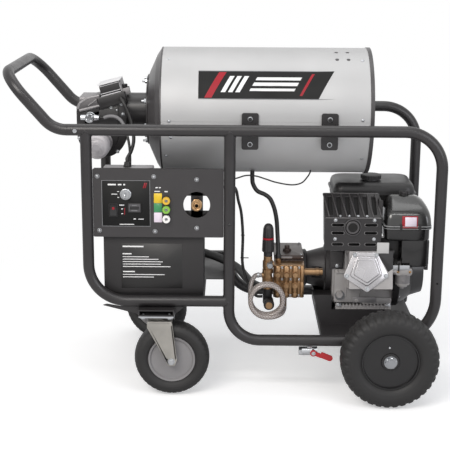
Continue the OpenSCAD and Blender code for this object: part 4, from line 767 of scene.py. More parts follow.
# Painted sand casting: the mould's grain shows through
cast_dark = coat("dark_sand_casting", "#3c3a3b", 0.5, 1.4, 0.18, metal=0.2, drift=0.1)
dress(cast_dark, "bell_housing")
case = [block((178, 276), (-118, 52), (310, 436), 8, 4.0, "z", 4),
        block((172.5, 276), (-122, 48), (436, 450), 7, 2.5, "z", 4)]
case += [block((182 + 15.5 * i, 189 + 15.5 * i), (-123.5, -116), (330, 434), 2, 1.2, "z") for i in range(6)]
case += [block((178.5, 275.5), (-124, -116), (438, 447), 2, 1.2, "y")]
case += [turned([(448, 15), (456, 15), (459, 13), (460, 11), (460, 9), (468, 9), (471, 7.5), (472, 3)],
                (220, -60, 0), UP, 32)]
piece("pump_case", case, anodised, instead_of="pump_crankcase")
piece("pump_case_plate", [block((194, 236), (-125.2, -123.6), (439.5, 446.5), 1, 0.3)], die_cast)
piece("pump_case_bolts",
      [screw((x, -122, 443), NEAR, 6, 3) for x in (180, 270)] +
      [screw((x, y, 450), UP, 7, 3) for x in (181, 267) for y in (-112, 38)], zinc_plate)

# Manifold: between the columns the forging is cut back, each column is a half-round rib
z0, z1 = SHAFT_Z - 58, SHAFT_Z + 58
brass = [block((170, 276), (-176, -118.3), (z0, z1), 5, 2.0, "z", 4)]
for x in (184, 214, 244, 268):
    wide = 11.5 if x < 260 else 7.5
    brass.append(turned([(z0 + 1, wide - 3), (z0 + 5, wide), (z0 + 52, wide), (z0 + 56, wide - 2),
                         (z0 + 60, wide - 2), (z0 + 64, wide), (z1 - 5, wide), (z1 - 1, wide - 3)],
                        (x, -176, 0), UP, 32))
for x in (184, 214, 244):
    brass += [turned([(-4, 12.4), (5.5, 12.4), (6.5, 11.4), (6.5, 6)], (x, -184, z0 + 86), NEAR, 40),
              nut((x, -190, z0 + 86), NEAR, 19, 8.6, 0.4),
              turned([(-4, 12.0), (4.5, 12.0), (5.5, 11.0), (5.5, 6)], (x, -184, z0 + 46), NEAR, 40),
              nut((x, -189, z0 + 46), NEAR, 17, 6.6, 0.1),
              turned([(0, 6.5), (7, 6.5), (8, 5.5)], (x, -184, z0 + 16), NEAR, 24)]
brass += [turned([(-2, 12), (40, 12), (41, 13.4), (52, 13.4), (53, 12), (64, 12), (64, 6)],
                 (276, -150, z0 + 86), RIGHT, 40),
          turned([(-1, 10), (10, 10), (11, 9), (14, 9), (14, 4)], (186, -134, z1), UP, 32),
          nut((186, -134, z1 + 1), UP, 20, 8),
          turned([(0, 11), (2, 12), (50, 12), (53, 12)], (206, -150, z0 - 52), UP, 32),
          turned([(-8, 9), (0, 10), (10, 10), (16, 10)], (206, -150, z0 - 38), NEAR, 28),
          turned([(-0.3, 17), (4, 17)], (170, -133, SHAFT_Z - 36), RIGHT, 36),
          block((205.5, 222.5), (-152, -120), (z0 + 40, z0 + 44), 1, 0.5, "z")]
piece("pump_forging", brass, cast_brass, instead_of="pump_manifold", crease=40)
piece("manifold_bolts",
      [screw((x, -177, z), NEAR, 7, 6) for x in (199, 229, 257) for z in (z0 + 8, z1 - 8, z0 + 66)],
      zinc_plate)

# Unloader: stacked brass body on the manifold, steel side plug, black filter bowl underneath
UX, UY = 150.0, -172.0
stack = [(345, 13), (346, 15), (360, 15), (362, 19), (384, 19), (385, 16.5), (400, 15), (402, 15),
         (402, 18.3), (416, 18.3), (416, 15), (420, 15.4), (421, 18), (445, 18), (446, 15), (461, 15),
         (462, 14), (462, 7)]
piece("unloader_stack", [turned(stack, (UX, UY, 0), UP, 40), nut((UX, UY, 402), UP, 33, 14, 0.3),
                         turned([(12, 10), (19.7, 10)], (UX, UY, 432), RIGHT, 28),
                         turned([(12, 8), (12, 10), (20, 10), (20, 6)], (UX, UY, 393), LEFT, 28),
                         turned([(0, 12), (3, 12), (4, 11), (4, 5)], (UX + 4, UY - 58.2, 302), NEAR, 32)],
      cast_brass, instead_of="unloader_body", crease=40)
piece("unloader_plug", [turned([(10, 10), (33, 10), (34, 9)], (UX + 6, UY, 438), NEAR, 28),
                        nut((UX + 6, UY - 33, 438), NEAR, 19, 11)], turned_steel)
piece("filter_bowl",
      [turned([(290, 11), (292, 15), (296, 16), (338, 16), (344.7, 14), (344.7, 6)], (UX, UY, 0), UP, 40),
       turned([(-2, 12), (0, 17), (40, 17), (42, 18.5), (52, 18.5), (54, 17), (58, 16), (58, 6)],
              (UX + 4, UY, 302), NEAR, 40)], moulded_black)
knob = [(463.3, 10), (463.3, 15), (477, 15), (478, 19), (480, 20.3), (520, 19.1), (521, 18.0), (523, 18.0),
        (530, 18.0), (531, 18.6), (560, 17.0), (568, 14.5), (573, 11), (576, 6)]
piece("pressure_knob_grip",
      [turned(knob, (UX, UY, 0), UP, 96, wave=0.55, waves=12),
       turned([(444, 5.9), (463, 5.9)], (UX, UY, 0), UP, 24)], moulded_black, body="pressure_knob",
      instead_of="unloader_knob")
piece("pressure_knob_ring",
      [turned([(522, 18.0), (522, 19.3), (528, 19.2), (528, 18.0)], (UX, UY, 0), UP, 64, loop=True)],
      ink_red, body="pressure_knob")
dress(turned_brass, "water_inlet")


# ---- Hoses and cables ----
# Each is held at both ends and runs through the same points as its solid; rubber for suction,
# pressure and fuel, clear braided hose for the coiled bypass.
def eased(points, per=8):
    """Catmull-Rom curve through the points: between b and c, with neighbours a and d, at t it is
    half of 2b + (c - a)t + (2a - 5b + 4c - d)t^2 + (3b - a - 3c + d)t^3."""
    p = np.asarray(points, float)
    p = np.concatenate([[2 * p[0] - p[1]], p, [2 * p[-1] - p[-2]]])
    a, b, c, d = p[:-3, None], p[1:-2, None], p[2:-1, None], p[3:, None]
    t = np.linspace(0, 1, per, endpoint=False)[None, :, None]
    curve = 0.5 * (2 * b + (c - a) * t + (2 * a - 5 * b + 4 * c - d) * t ** 2
                   + (3 * b - a - 3 * c + d) * t ** 3)
    return np.concatenate([curve.reshape(-1, 3), p[-2:-1]])


def hose(points, radius, up, around=20, per=8):
    """Tube along the eased curve: at each station a circle in the plane of up x tangent and of the
    tangent's cross with that."""
    path = eased(points, per)
    along = np.gradient(path, axis=0)
    along /= np.linalg.norm(along, axis=1)[:, None]
    side = np.cross(along, np.asarray(up, float))
    side /= np.linalg.norm(side, axis=1)[:, None]
    over = np.cross(side, along)
    a = np.linspace(0, 2 * np.pi, around, endpoint=False)[None, :, None]
    lengths = np.concatenate([[0], np.cumsum(np.linalg.norm(np.diff(path, axis=0), axis=1))]) / 1000.0
    return skin(path[:, None] + radius * (np.cos(a) * side[:, None] + np.sin(a) * over[:, None]),
                lengths=lengths)


# Extruded rubber: dark, with a faint sheen along the tube
rubber = coat("black_epdm_rubber_hose", "#191818", 0.50, 1.5, 0.04, gloss=0.05)
fuel_run = [(-427.7, -82.3, 922), (-414, -82.3, 922), (-392, -86, 928), (-368, -92, 924), (-348, -100, 906),
            (-334, -110, 870), (-324, -130, 830), (-320, -160, 790), (-320, -182, 740), (-320, -190, 690),
            (-320, -190, 620), (-320, -190, 566), (-320, -190, 549)]
piece("burner_fuel_line", [hose(fuel_run, 4.5, FAR, 16)], rubber, instead_of="burner_fuel_hose")
# Grey braided sleeve over the upper end of the fuel line: dry and matt
piece("fuel_line_sleeve", [hose(fuel_run[1:6], 6.0, FAR, 16)],
      coat("grey_braided_sleeve", "#7d7c7e", 0.5, 1.5, 0.05))
lead_run = [(-356, -70.4, 988), (-356, -84, 988), (-344, -98, 974), (-326, -106, 936), (-314, -116, 896),
            (-308, -146, 856), (-312, -196, 830), (-322, -236, 812), (-322, -240, 804), (-322, -240, 796)]
piece("burner_lead",
      [hose(lead_run, 6, RIGHT, 16),
       turned([(783.5, 13.3), (789, 13.3), (790, 12), (792, 11.4), (799, 10.5), (801, 8)], (-322, -240, 0),
              UP, 32)], rubber, instead_of="burner_cable")
suction_run = [(169.4, -133, 336), (150, -133, 336), (122, -122, 336), (96, -84, 338), (74, -30, 346),
               (50, 30, 356), (10, 90, 364), (-40, 140, 372), (-96, 178, 378), (-138, 206, 380),
               (-150, 232, 380), (-150, 262, 380)]
piece("suction_line", [hose(suction_run, 15.5, UP, 24)], rubber, instead_of="suction_hose")
riser = [(94, -100, 745), (94, -100, 722), (97, -100, 698), (112, -100, 674), (139, -100, 661),
         (158, -100, 644), (172, -100, 610), (180, -100, 571), (183, -102, 535), (185, -112, 500),
         (186, -126, 474), (186, -134, 460), (186, -134, 444.3)]
out_run = [(-91, -233.4, 667), (-91, -216, 667), (-91, -180, 672), (-91, -140, 688), (-91, -112, 712),
           (-91, -100, 730), (-91, -100, 745)]
piece("pressure_line", [hose(riser, 7.5, (1, 0, 0.02), 20), hose(out_run, 7.5, RIGHT, 20),
                        turned([(444.4, 9.6), (458, 9.6), (460, 8.4)], (186, -134, 0), UP, 24)], rubber,
      instead_of="pressure_hose")
sensor_run = [(-235.7, -235, 716), (-215, -232, 716), (-150, -190, 716), (-91, -165, 716), (0, -130, 716),
              (39, -120, 722), (73, -120, 732), (107, -120, 730), (142, -118, 719), (176, -112, 707),
              (228, -104, 697), (263, -100, 703), (283, -100, 724), (292, -100, 740), (293, -100, 748)]
loom_run = [(-235.7, -225, 690), (-210, -225, 690), (-150, -220, 690), (-91, -214, 692), (-20, -180, 700),
            (20, -158, 704), (38, -152, 690), (46, -150, 653), (57, -150, 607), (63, -150, 529),
            (62, -150, 440), (69, -150, 397), (80, -154, 364), (94, -164, 336), (112, -172, 318),
            (133, -172, 316)]


def tie(x, y, z, radius):
    """Cable tie: a bead round an upright loom, 5.9 mm from its middle."""
    t = np.linspace(0, 2 * np.pi, 32, endpoint=False)
    out = np.array([np.cos(t), np.sin(t), 0 * t]).T
    return bead(np.array([x + 5.9 * np.cos(t), y + 5.9 * np.sin(t), z + 0 * t]).T, out, radius)


ties = [tie(63, -150, 529, 1.0), tie(62, -150, 448, 1.2)]
ties += [block((66, 84), (-151, -149), (446.5, 449.5), 0.9, 0.3)]
piece("sensor_leads", [hose(sensor_run, 2.5, (0, 1, 0.02), 12), hose(loom_run, 5, (0, 1, 0.02), 16)] + ties,
      rubber, instead_of="sensor_cables")

# Clear PVC hose over a polyester braid: the braid's lozenges are 3 mm, drawn at 5 mm so they show
turn = np.arange(55) / 54
angle = np.pi + 2 * np.pi * 2.25 * turn
wound = np.stack([146 + 56 * np.cos(angle), -216 - 17.5 * 2.25 * turn, 324 + 56 * np.sin(angle)], -1)
low_end = -216 - 17.5 * 2.25
coil_run = np.concatenate([[(129.7, -172, 393), (114, -172, 393), (104, -178, 389), (95, -190, 376),
                            (91, -204, 356), (90, -212, 340)], wound,
                           [(164, low_end + 2, 268), (182, low_end + 12, 269), (198, low_end + 32, 272),
                            (205, low_end + 54, 275), (206, -182, 276), (206, -166.3, 276)]])
braided, tree = blank("clear_pvc_over_braid")
place = add(tree, "SeparateXYZ", {0: add(tree, "UVMap").outputs[0]})
turns_round = add(tree, "Math", {0: place.outputs["X"], 1: 2 * np.pi * 5}, operation="MULTIPLY")
turns_along = add(tree, "Math", {0: place.outputs["Y"], 1: 2 * np.pi / 0.010}, operation="MULTIPLY")
left = add(tree, "Math",
           {0: add(tree, "Math", {0: turns_round.outputs[0], 1: turns_along.outputs[0]},
                   operation="ADD").outputs[0]}, operation="SINE")
right = add(tree, "Math",
            {0: add(tree, "Math", {0: turns_round.outputs[0], 1: turns_along.outputs[0]},
                    operation="SUBTRACT").outputs[0]}, operation="SINE")
knit = add(tree, "Math", {0: left.outputs[0], 1: right.outputs[0]}, operation="MAXIMUM")
yarn = add(tree, "MapRange", {"Value": knit.outputs[0], "From Min": 0.75, "From Max": 0.95})
tone = add(tree, "Mix", {0: yarn.outputs[0], 6: linear("#7d736f"), 7: linear("#bdb5b0")}, data_type="RGBA")
braid_rise = add(tree, "Bump", {"Height": yarn.outputs[0], "Strength": 0.4, "Distance": 0.0003})
jacket = add(tree, "BsdfPrincipled", {"Base Color": tone.outputs[2], "Roughness": 0.24, "IOR": 1.53,
                                      "Normal": braid_rise.outputs[0], "Coat Weight": 0.5,
                                      "Coat Roughness": 0.08})
add(tree, "OutputMaterial", {0: jacket.outputs[0]})
piece("bypass_coil", [hose(coil_run, 8.0, (0, 1, 0.02), 20, 4)], braided, instead_of="bypass_hose",
      uv=True)
piece("bypass_clamps", [turned([(0, 8.2), (0, 9.4), (7, 9.4), (7, 8.2)], place, axis, 32, loop=True)
                        for place, axis in (((121, -172, 393), LEFT), ((206, -172, 276), NEAR))],
      zinc_plate)


# ---- Engine block ----
# Die-cast aluminium crankcase and finned cylinder, tilted as such engines are, on a ribbed base,
# all left as cast; the dark governor housing is screwed on beside the cylinder.
# Bare aluminium casting: pale grey and grainy, with a dull metal sheen
raw_cast = coat("bare_aluminium_casting", "#aaa7a6", 0.48, 1.2, 0.12, metal=0.35, drift=0.10)
dress(raw_cast, "engine_block")
# Engine paint: a thin gloss over pressed steel
engine_black = coat("black_engine_paint", "#242324", 0.36, 2.0, 0.05, gloss=0.15)
piece("governor_housing", [block((368, 416), (-113.5, -102), (400, 464), 5, 2.5, "y", 4),
                           block((372, 412), (-115, -112), (404, 425), 3, 1.0)], cast_dark)
piece("governor_screw", [screw((394, -115, 412), NEAR, 10, 3)], zinc_plate)
ribs = [block((392.5 + 12.2 * i, 397 + 12.2 * i), (-113.4, -104), (253, 272), 1.5, 0.7) for i in range(16)]
ribs += [block((392, 588), (-113.2, -110), (252.4, 257), 1.5, 0.6)]
ribs += [block((484, 588), (-108, -103), (270, 292), 3, 1.2)]
piece("engine_base_ribs", ribs, raw_cast)
web = np.array([(384, 276), (470, 276), (478, 322), (452, 398), (386, 398)])
piece("crankcase_web",
      [prism(softened(web, 8), -110, -102, 3.0, "y", 4),
       block((420, 452), (-112, -102), (398, 470), 5, 3.0, "y", 4),
       block((388, 446), (-114.5, -108), (384, 392), 2, 1.5),
       block((424, 430), (-114, -108), (300, 460), 2,
             1.5)] + [turned([(108, 6.5), (114.5, 6.5), (115.5, 5.0), (115.5, 2)], (x, 0, z), NEAR, 20)
                      for x, z in ((394, 388), (440, 462), (466, 284))], raw_cast)
piece("oil_filler",
      [turned([(104, 17), (113, 17), (114, 15.5), (116, 15), (116, 11), (121, 11), (122, 10), (122, 3)],
              (406, 0, 303), NEAR, 40), block((397, 415), (-124.5, -121), (300.5, 305.5), 1.5, 0.8)],
      turned_steel)
piece("engine_notice_bare", [block((450, 534), (-112.6, -109.5), (276.5, 296.5), 2, 0.8)], die_cast)
piece("engine_hold_down",
      [nut((x, -108, 266.2), UP, 17, 8) for x in (404, 576)] +
      [turned([(0, 12), (1.6, 12), (1.6, 5)], (x, -108, 266.1), UP, 24) for x in (404, 576)], zinc_plate)


def tilted(part):
    """The cylinder's own frame: its z points along (0, -0.970, 0.242) from (500, 0, 372), its y
    along (0, 0.242, 0.970)."""
    points = np.asarray(part[0], float)
    out = np.stack([500 + points[:, 0], 0.242 * points[:, 1] - 0.970 * points[:, 2],
                    372 + 0.970 * points[:, 1] + 0.242 * points[:, 2]], -1)
    return (out,) + tuple(part[1:])


# Rocker cover: bright pressed pentagon with a raised panel, rolled flange and four flange bolts
bright_cast = coat("bright_pressed_cover", "#bdbbbd", 0.24, 1.0, 0.03, metal=0.8)
flange = softened([(-95, -22), (-60, 60), (20, 60), (60, -19), (-13, -76)], 9)
panel = softened([(-74, -19), (-51, 50), (16, 47), (37, -15), (-15, -55)], 10)
crown = np.array([(-16.0, 3.0)])
piece("rocker_cover_pressing",
      [tilted(prism(flange, 218.4, 225.0, 1.2, "z", 3)), tilted(prism(panel, 224.0, 241.0, 5.0, "z", 6)),
       tilted(prism(crown + 0.80 * (panel - crown), 240.0, 246.5, 4.0, "z", 6)),
       tilted(prism(softened([(-52, 34), (-46, 40), (12, 39), (16, 34)], 2), 246.0, 247.6, 0.8, "z", 3))],
      bright_cast, instead_of="rocker_cover")
piece("rocker_cover_bolts",
      [tilted(turned([(224, 8), (226, 8.4), (226, 6.0), (230, 6.0), (231, 5.0), (231, 2)], (u, v, 0), UP,
                     6)) for u, v in ((-83, -20), (-56, 52), (17, 52), (50, -18), (-13, -64))], zinc_plate)
# Dark shroud over the head's upper right corner, and a bare pale tag above it
piece("head_shroud",
      [tilted(prism(softened([(18, 65.2), (75.2, 65.2), (75.2, 6), (58, -6)], 3), 190.0, 219.0, 1.0, "z",
                    3)), tilted(prism(softened([(30, 68), (80, 68), (80, 58), (30, 58)], 2), 150.0, 214.0,
                                      1.0, "z", 3))], moulded_black)
piece("engine_tag_bare", [block((519, 560), (-198.4, -196.8), (478, 519), 2.5, 0.5),
                          block((521, 531), (-197.5, -193.8), (488, 510), 1.5, 0.5)],
      coat("pale_tag_lacquer", "#c4c3c2", 0.42, 2.0, 0.02))


# ---- Muffler ----
# Pressed steel box under a slotted heat guard, stove-enamelled black; the slot lips are rolled, and they
# and the guard's fold and top edge carry a pale painted highlight. Studs hold the guard; a dull ring stands
# round the sooted throat.
# Stove enamel: matt where new, greyer where rubbed, with a pale painted highlight on the lips; soot in the
# pipe
stove_black = coat("matt_stove_enamel", "#262425", 0.44, 1.2, 0.08)
dress(stove_black, "muffler")
worn_stove = coat("rubbed_stove_enamel", "#4c4a4b", 0.34, 1.2, 0.06)
# Near black: real soot inside the exhaust pipe, and painted shade on the sheet under the grille
soot_and_shade_black = coat("soot_and_shade_black", "#0b0a0a", 0.8, 1.2, 0.05)
lip_painted_highlight = coat("rolled_lip_painted_highlight", "#777575", 0.40, 1.0, 0.04)
slots = [(x, x + 42, z0, z0 + 10) for x in (364, 476) for z0 in (546, 574)]
slots += [(366 + 56 * i, 404 + 56 * i, 506, 516) for i in range(3)]


def edged(u0, u1, z0, z1, wide, deep, y):
    """Rolled lip round a slot: the slot's rounded outline spread by wide and lofted by deep in y."""
    r = min(u1 - u0, z1 - z0) / 2.0
    inner = rounded(u0, u1, z0, z1, r, 6)
    mid = inner.mean(0)
    grow = (inner - mid) / np.linalg.norm(inner - mid, axis=1)[:, None]
    rings = []
    for out, back in ((0, 0.4), (0, -deep), (wide, -deep), (wide + 0.8, 0.4)):
        flat = inner + grow * out
        rings.append(np.stack([flat[:, 0], np.full(len(flat), y + back), flat[:, 1]], -1))
    return skin(np.array(rings), loop=True)


# Pale lips round the slots, and pale rods along the guard's fold and top edge: painted highlight
piece("guard_lips",
      [edged(a, b, c, d, 1.6, 1.6, -194.1) for a, b, c, d in slots] +
      [stroke((342, -194, 603.4), (530, -194, 603.4), 1.4), stroke((343, -92, 666), (529, -92, 666), 1.4)],
      lip_painted_highlight, crease=60)
piece("guard_ribs",
      [stroke((x + 8, -190, 607), (x - 8, -96, 665), 2.4) for x in (347, 377, 407, 437, 467, 497, 524)],
      worn_stove, crease=60)
# A near-black sheet under the sloping grille, seen through its slots: painted shade
baffle = np.array([(-186, 594), (-98, 650), (-96, 656), (-186, 599)])
piece("guard_baffle", [prism(baffle, 343.5, 529, 0.4, "x", 2)], soot_and_shade_black, crease=60)
piece("cylinder_shroud",
      [block((526, 540.5), (-150, -146), (486, 655), 2, 0.8),
       block((528, 600), (-150, -146), (452, 523), 3, 0.8),
       block((526, 536), (-148, -70), (520, 655), 2, 0.8, "y")], moulded_black)
piece("guard_studs",
      [screw((x, -194.2, z), NEAR, 9, 4) for x, z in ((376, 596), (508, 596), (376, 530), (508, 530))] +
      [screw((x, -189, 609), (0, -0.53, 0.85), 7, 3) for x in (392, 422, 452, 482)], zinc_plate)
piece("exhaust_ring",
      [turned([(194.2, 29.5), (197, 29.5), (198.4, 28), (198.4, 26), (194.2, 26)], (435, 0, 571), NEAR, 56,
              loop=True), turned([(194.2, 22.4), (201, 22.4), (202, 21), (202, 17), (200.2, 15.5),
                                  (194.2, 15.5)], (435, 0, 571), NEAR, 48, loop=True)], worn_stove)
piece("exhaust_throat", [turned([(199.5, 16.5), (200.5, 15.8), (200.5, 0.4)], (435, 0, 571), NEAR, 32)],
      soot_and_shade_black)


# ---- Air cleaner and carburettor ----
# Two-part glossy ABS cover over a black box, the joint drawn as two pale lines of painted highlight; below
# it the zinc-alloy carburettor with its bowl hangs between cylinder and cleaner.
# Gloss plastic: a clear skin that mirrors the lamps; its seams carry a pale painted highlight
abs_gloss = coat("gloss_black_abs", "#1b1b1b", 0.30, 5.0, 0.03, gloss=0.9)
seam_painted_highlight = coat("moulded_seam_painted_highlight", "#a9aaab", 0.40, 2.0, 0.02)
dress(raw_cast, "carburettor")


def domed(outlines, heights, per):
    """Shell through rounded outlines (u0, u1, v0, v1, r) stacked at the given heights, closed at
    both ends."""
    rings = []
    for (u0, u1, v0, v1, r), z in zip(outlines, heights):
        flat = rounded(u0, u1, v0, v1, r, per)
        rings.append(np.stack([flat[:, 0], flat[:, 1], np.full(len(flat), z)], -1))
    return skin(np.array(rings))


cover_rings = [(545, 704, -198, -57, 20, 570), (546, 703, -197.5, -58, 20, 577),
               (547, 701, -195.5, -60, 20, 598), (548.5, 699, -192, -61, 21, 610),
               (550, 696.5, -186, -63, 22, 620), (552, 692, -177, -65, 23, 630),
               (554.5, 687, -165, -68, 24, 639), (557.5, 681, -151, -72, 24, 647),
               (561, 672, -136, -77, 22, 655), (567, 661, -122, -83, 16, 662),
               (577, 650, -113, -90, 8, 665)]
piece("cleaner_cover", [domed([ring[:5] for ring in cover_rings], [ring[5] for ring in cover_rings], 7)],
      abs_gloss, instead_of="air_cleaner")
piece("cleaner_box",
      [domed([(548, 696, -191, -62, 20), (546, 698, -194, -60, 20), (546, 698, -194, -60, 20),
              (541.5, 703.5, -199.5, -56.5, 22), (541, 704, -200, -56, 22), (541, 704, -200, -56, 22)],
             (524.5, 530, 563, 565, 567, 571), 7), block((604, 698), (-190, -140), (431, 532), 12, 4)],
      gloss_black)
# Two thin pale bands round the joint: painted highlight on the seam
piece("cleaner_seams",
      [domed([(541.5, 703.5, -199.5, -56.5, 22), (540.6, 704.4, -200.4, -55.6, 22),
              (540.6, 704.4, -200.4, -55.6, 22), (541.5, 703.5, -199.5, -56.5, 22)],
             (z, z + 0.4, z + 1.5, z + 1.9), 7) for z in (566.5, 574.5)], seam_painted_highlight)
# A plain two-colour patch on the cover's front, which leans back a little
patch = []
for u0, u1, v0, v1, out in ((601, 654, 571, 612, 0.3), (611, 650, 577, 608, 0.5)):
    flat = decal(u0, u1, v0, v1, out, y=-199.0)
    flat[0][:, 1] += 0.107 * (flat[0][:, 2] - 577)
    patch.append(flat)
piece("cleaner_patch", patch[:1], ink_red, crease=60)
piece("cleaner_patch_field", patch[1:], ink_pale, crease=60)
piece("cleaner_knob",
      [turned([(657, 15), (662, 15), (664, 12), (674, 12), (676, 10), (676, 2)], (616, -104, 0), UP, 72,
              wave=0.7, waves=12),
       block((599, 633), (-106, -102), (664, 679), 2, 1.0)] +
      [block((x, x + 8), (-201.5, -199), (560, 584), 2, 0.8) for x in (594, 658)], moulded_black)
piece("throttle_plate", [block((570, 632), (-204.6, -203.2), (425, 441), 2, 0.4),
                         block((572, 600), (-206, -204), (431, 436), 2, 0.6)], zinc_plate)
piece("carburettor_casting", [block((587, 641), (-203.0, -143), (405, 429), 5, 2.0, "y", 4),
                              block((596, 630), (-196, -150), (428, 436), 6, 2.0, "z"),
                              turned([(0, 12), (2, 13), (16, 13)], (574.5, -190, 417), RIGHT, 32)],
      raw_cast)
piece("carburettor_bowl",
      [turned([(358, 6), (359, 14), (366, 17), (372, 24), (374, 25.3), (402, 25.3), (403, 27), (407, 27),
               (407, 10)], (613, -178, 0), UP, 48), nut((613, -178, 351), UP, 11, 8),
       turned([(24, 4), (30, 4), (31, 3), (31, 1)], (613, -178, 384), NEAR, 16)], die_cast)
piece("carburettor_screws",
      [screw((x, -203, 417), NEAR, 6.4, 2.6)
       for x in (594, 634)] + [turned([(0, 3.2), (12, 3.2), (13, 5), (17, 5), (17, 2)], (622, -170, 436),
                                      UP, 20)], turned_brass)
piece("choke_lever",
      [block((592, 597), (-212, -200), (421, 452), 2, 0.8),
       turned([(0, 7), (5, 7)], (594.5, -212, 452), FAR, 24)], moulded_black)


# ---- Engine fuel tank ----
# Two deep-drawn steel halves in black enamel, seamed together round a flange, with a filler neck;
# the tank stands on four feet.
# Enamel on drawn steel: near black with a broad highlight
deep_gloss = coat("gloss_black_enamel", "#232223", 0.40, 3.0, 0.02)
heights = (608.5, 612, 618, 630, 648)
piece("tank_lower_half",
      [domed([(394, 652, -34, 146, 40), (387, 659, -41, 153, 40), (382, 664, -46, 158, 36),
              (380, 666, -48, 160, 32), (380, 666, -48, 160, 32)], heights, 8)], deep_gloss,
      instead_of="engine_fuel_tank")
piece("tank_upper_half",
      [domed([(380, 666, -48, 160, 32), (380.5, 665.5, -47.5, 159.5, 32), (382, 664, -46, 158, 32),
              (386, 660, -42, 154, 32), (393, 653, -35, 147, 32), (403, 643, -25, 137, 30)],
             (654, 664, 673, 682, 687.4, 689.8), 8),
       turned([(687, 33), (689.5, 30.5), (693.6, 30), (693.6, 24)], (517, 30, 0), UP, 40)], deep_gloss)
piece("tank_seam",
      [domed([(376, 670, -52, 164, 36), (374.2, 671.8, -53.8, 165.8, 36), (374.2, 671.8, -53.8, 165.8, 36),
              (376, 670, -52, 164, 36)], (648.2, 649.4, 654.6, 655.8), 8)], deep_gloss)
piece("tank_feet", [block((x - 14, x + 14), (y - 12, y + 12), (596, 609), 3, 1.0) for x in (440, 560)
                    for y in (-10, 100)] + [screw((x, y - 16, 654), NEAR, 8, 3)
                                            for x, y in ((420, -37), (620, -37))], sheet_black)
piece("engine_cap_ribbed",
      [turned([(694.5, 33), (695, 36), (706, 36), (708, 34.5), (709, 31), (709, 6)], (517, 30, 0), UP, 144,
              wave=0.8, waves=24), block((491, 543), (26, 34), (706.5, 708.9), 2, 0.8, "z")], moulded_black,
      body="engine_cap", instead_of="engine_fuel_cap")


# ---- Blower housing and starter ----
# Pressed steel shroud in engine paint with the recoil starter's cone on its face; beads stand round
# the rim of the shroud and of the cone.
dress(engine_black, "blower_housing")
dress(moulded_black, "recoil_grip")
fan = [turned([(590.6, 131), (592, 134.6), (596, 134.6), (598, 131)], (0, 0, 372), RIGHT, 96, loop=True),
       turned([(655, 97), (657.6, 99.5), (658.6, 98), (658.6, 92), (656, 90)], (0, 0, 372), RIGHT, 96,
              loop=True)]
fan += [turned([(700.5, 40), (703, 38), (704.5, 33), (704.5, 8)], (0, 0, 372), RIGHT, 48)]
piece("shroud_beads", fan, engine_black)
piece("shroud_bolts",
      [nut((611.6, 127 * np.cos(a), 372 + 127 * np.sin(a)), RIGHT, 10, 6)
       for a in np.radians((35, 145, 215, 325))] + [nut((x, -109, 508), NEAR, 10, 4) for x in (602, 648)],
      zinc_plate)
piece("shroud_side_ribs", [block((596, 652), (-112.4, -109.5), (424 + 12 * i, 429 + 12 * i), 2, 0.9)
                           for i in range(7)], engine_black)


# ---- Drain valve ----
# Small steel ball valve under the near rail. Its lever is dipped in red vinyl and turns on a stem
# that a zinc nut closes.
# Dipped vinyl: a soft red skin with a small wet highlight
vinyl_red = coat("dipped_red_vinyl", "#b3131d", 0.34, 1.5, 0.03, gloss=0.15)
dress(zinc_plate, "drain_valve")
dress(vinyl_red, "drain_lever")
piece("valve_stem_nut",
      [nut((304, -312.6, 160), NEAR, 10, 4), turned([(312.4, 7), (313.6, 7)], (304, 0, 160), NEAR, 24)],
      zinc_plate, body="valve_lever")
piece("valve_end_threads", [turned([(257, 8.5), (268, 8.5)], (0, -285, 160), RIGHT, 32)], zinc_plate)


# ---- Rear wheels ----
# Pneumatic 13-inch wheels: a moulded tyre with two rows of lugs, on a black pressed rim of two
# halves whose steps show as rings; a zinc washer and nut hold each on the axle.
# Tyre rubber is dull and dusty; the rim enamel is blacker and shinier, so its steps show
tyre_black = coat("black_tyre_rubber", "#1f1e1e", 0.60, 2.5, 0.06)
rim_black = coat("black_rim_enamel", "#141314", 0.38, 2.5, 0.03, gloss=0.1)
WHEEL = np.array([553.0, 368.0, 165.0])
tyre_profile = np.array([(96, 37), (98, 41), (104, 46.5), (112, 50), (124, 52.4), (132, 52.6), (139, 51.4),
                         (145, 48.6), (151, 44), (155.5, 38), (158.6, 31), (160.4, 22), (161.2, 10),
                         (161.4, 0)])


def tyre(section, lugs, depth, shoulder, tread, centre, side, offset):
    """Tyre surface: a section of (radius, half width) turned round Y. Over the tread the radius is
    raised by depth x L, where L is the smooth product of two steps: one in the angle (lugs per turn,
    the rows on either side set half a pitch apart) and one in the half width between shoulder and
    tread, so the lugs fade into the side wall."""
    right = np.asarray(section, float)
    whole = np.concatenate([right * (1, -1), right[-2:0:-1]])
    # finer along the section: four stations per span
    at = np.arange(len(whole))
    fine = np.linspace(0, len(whole) - 1, 4 * (len(whole) - 1) + 1)
    r = np.interp(fine, at, whole[:, 0])
    w = np.interp(fine, at, whole[:, 1])
    a = np.linspace(0, 2 * np.pi, lugs * 10, endpoint=False)
    row = np.where(w < 0, 0.0, 0.5)[:, None]
    phase = ((a[None, :] * lugs / (2 * np.pi) + row + offset) % 1.0)
    bar = np.clip((0.36 - np.abs(phase - 0.5)) / 0.05, 0, 1)
    bar = bar * bar * (3 - 2 * bar)
    reach = np.abs(w)[:, None]
    across = np.clip((reach - 4.0) / 3.0, 0, 1) * np.clip((r[:, None] - shoulder) / 6.0, 0, 1)
    middle = np.clip((7.0 - reach) / 3.0, 0, 1)
    lift = depth * np.maximum(bar * across, tread * middle)
    out_r = r[:, None] + lift * np.clip((r[:, None] - 120) / 25.0, 0.35, 1)
    out_w = w[:, None] * (1 + 0.25 * lift / depth * 0.06)
    ring = np.stack([out_r * np.cos(a), side * out_w + 0 * a, out_r * np.sin(a)], -1)
    return skin(ring + np.asarray(centre, float), loop=True)


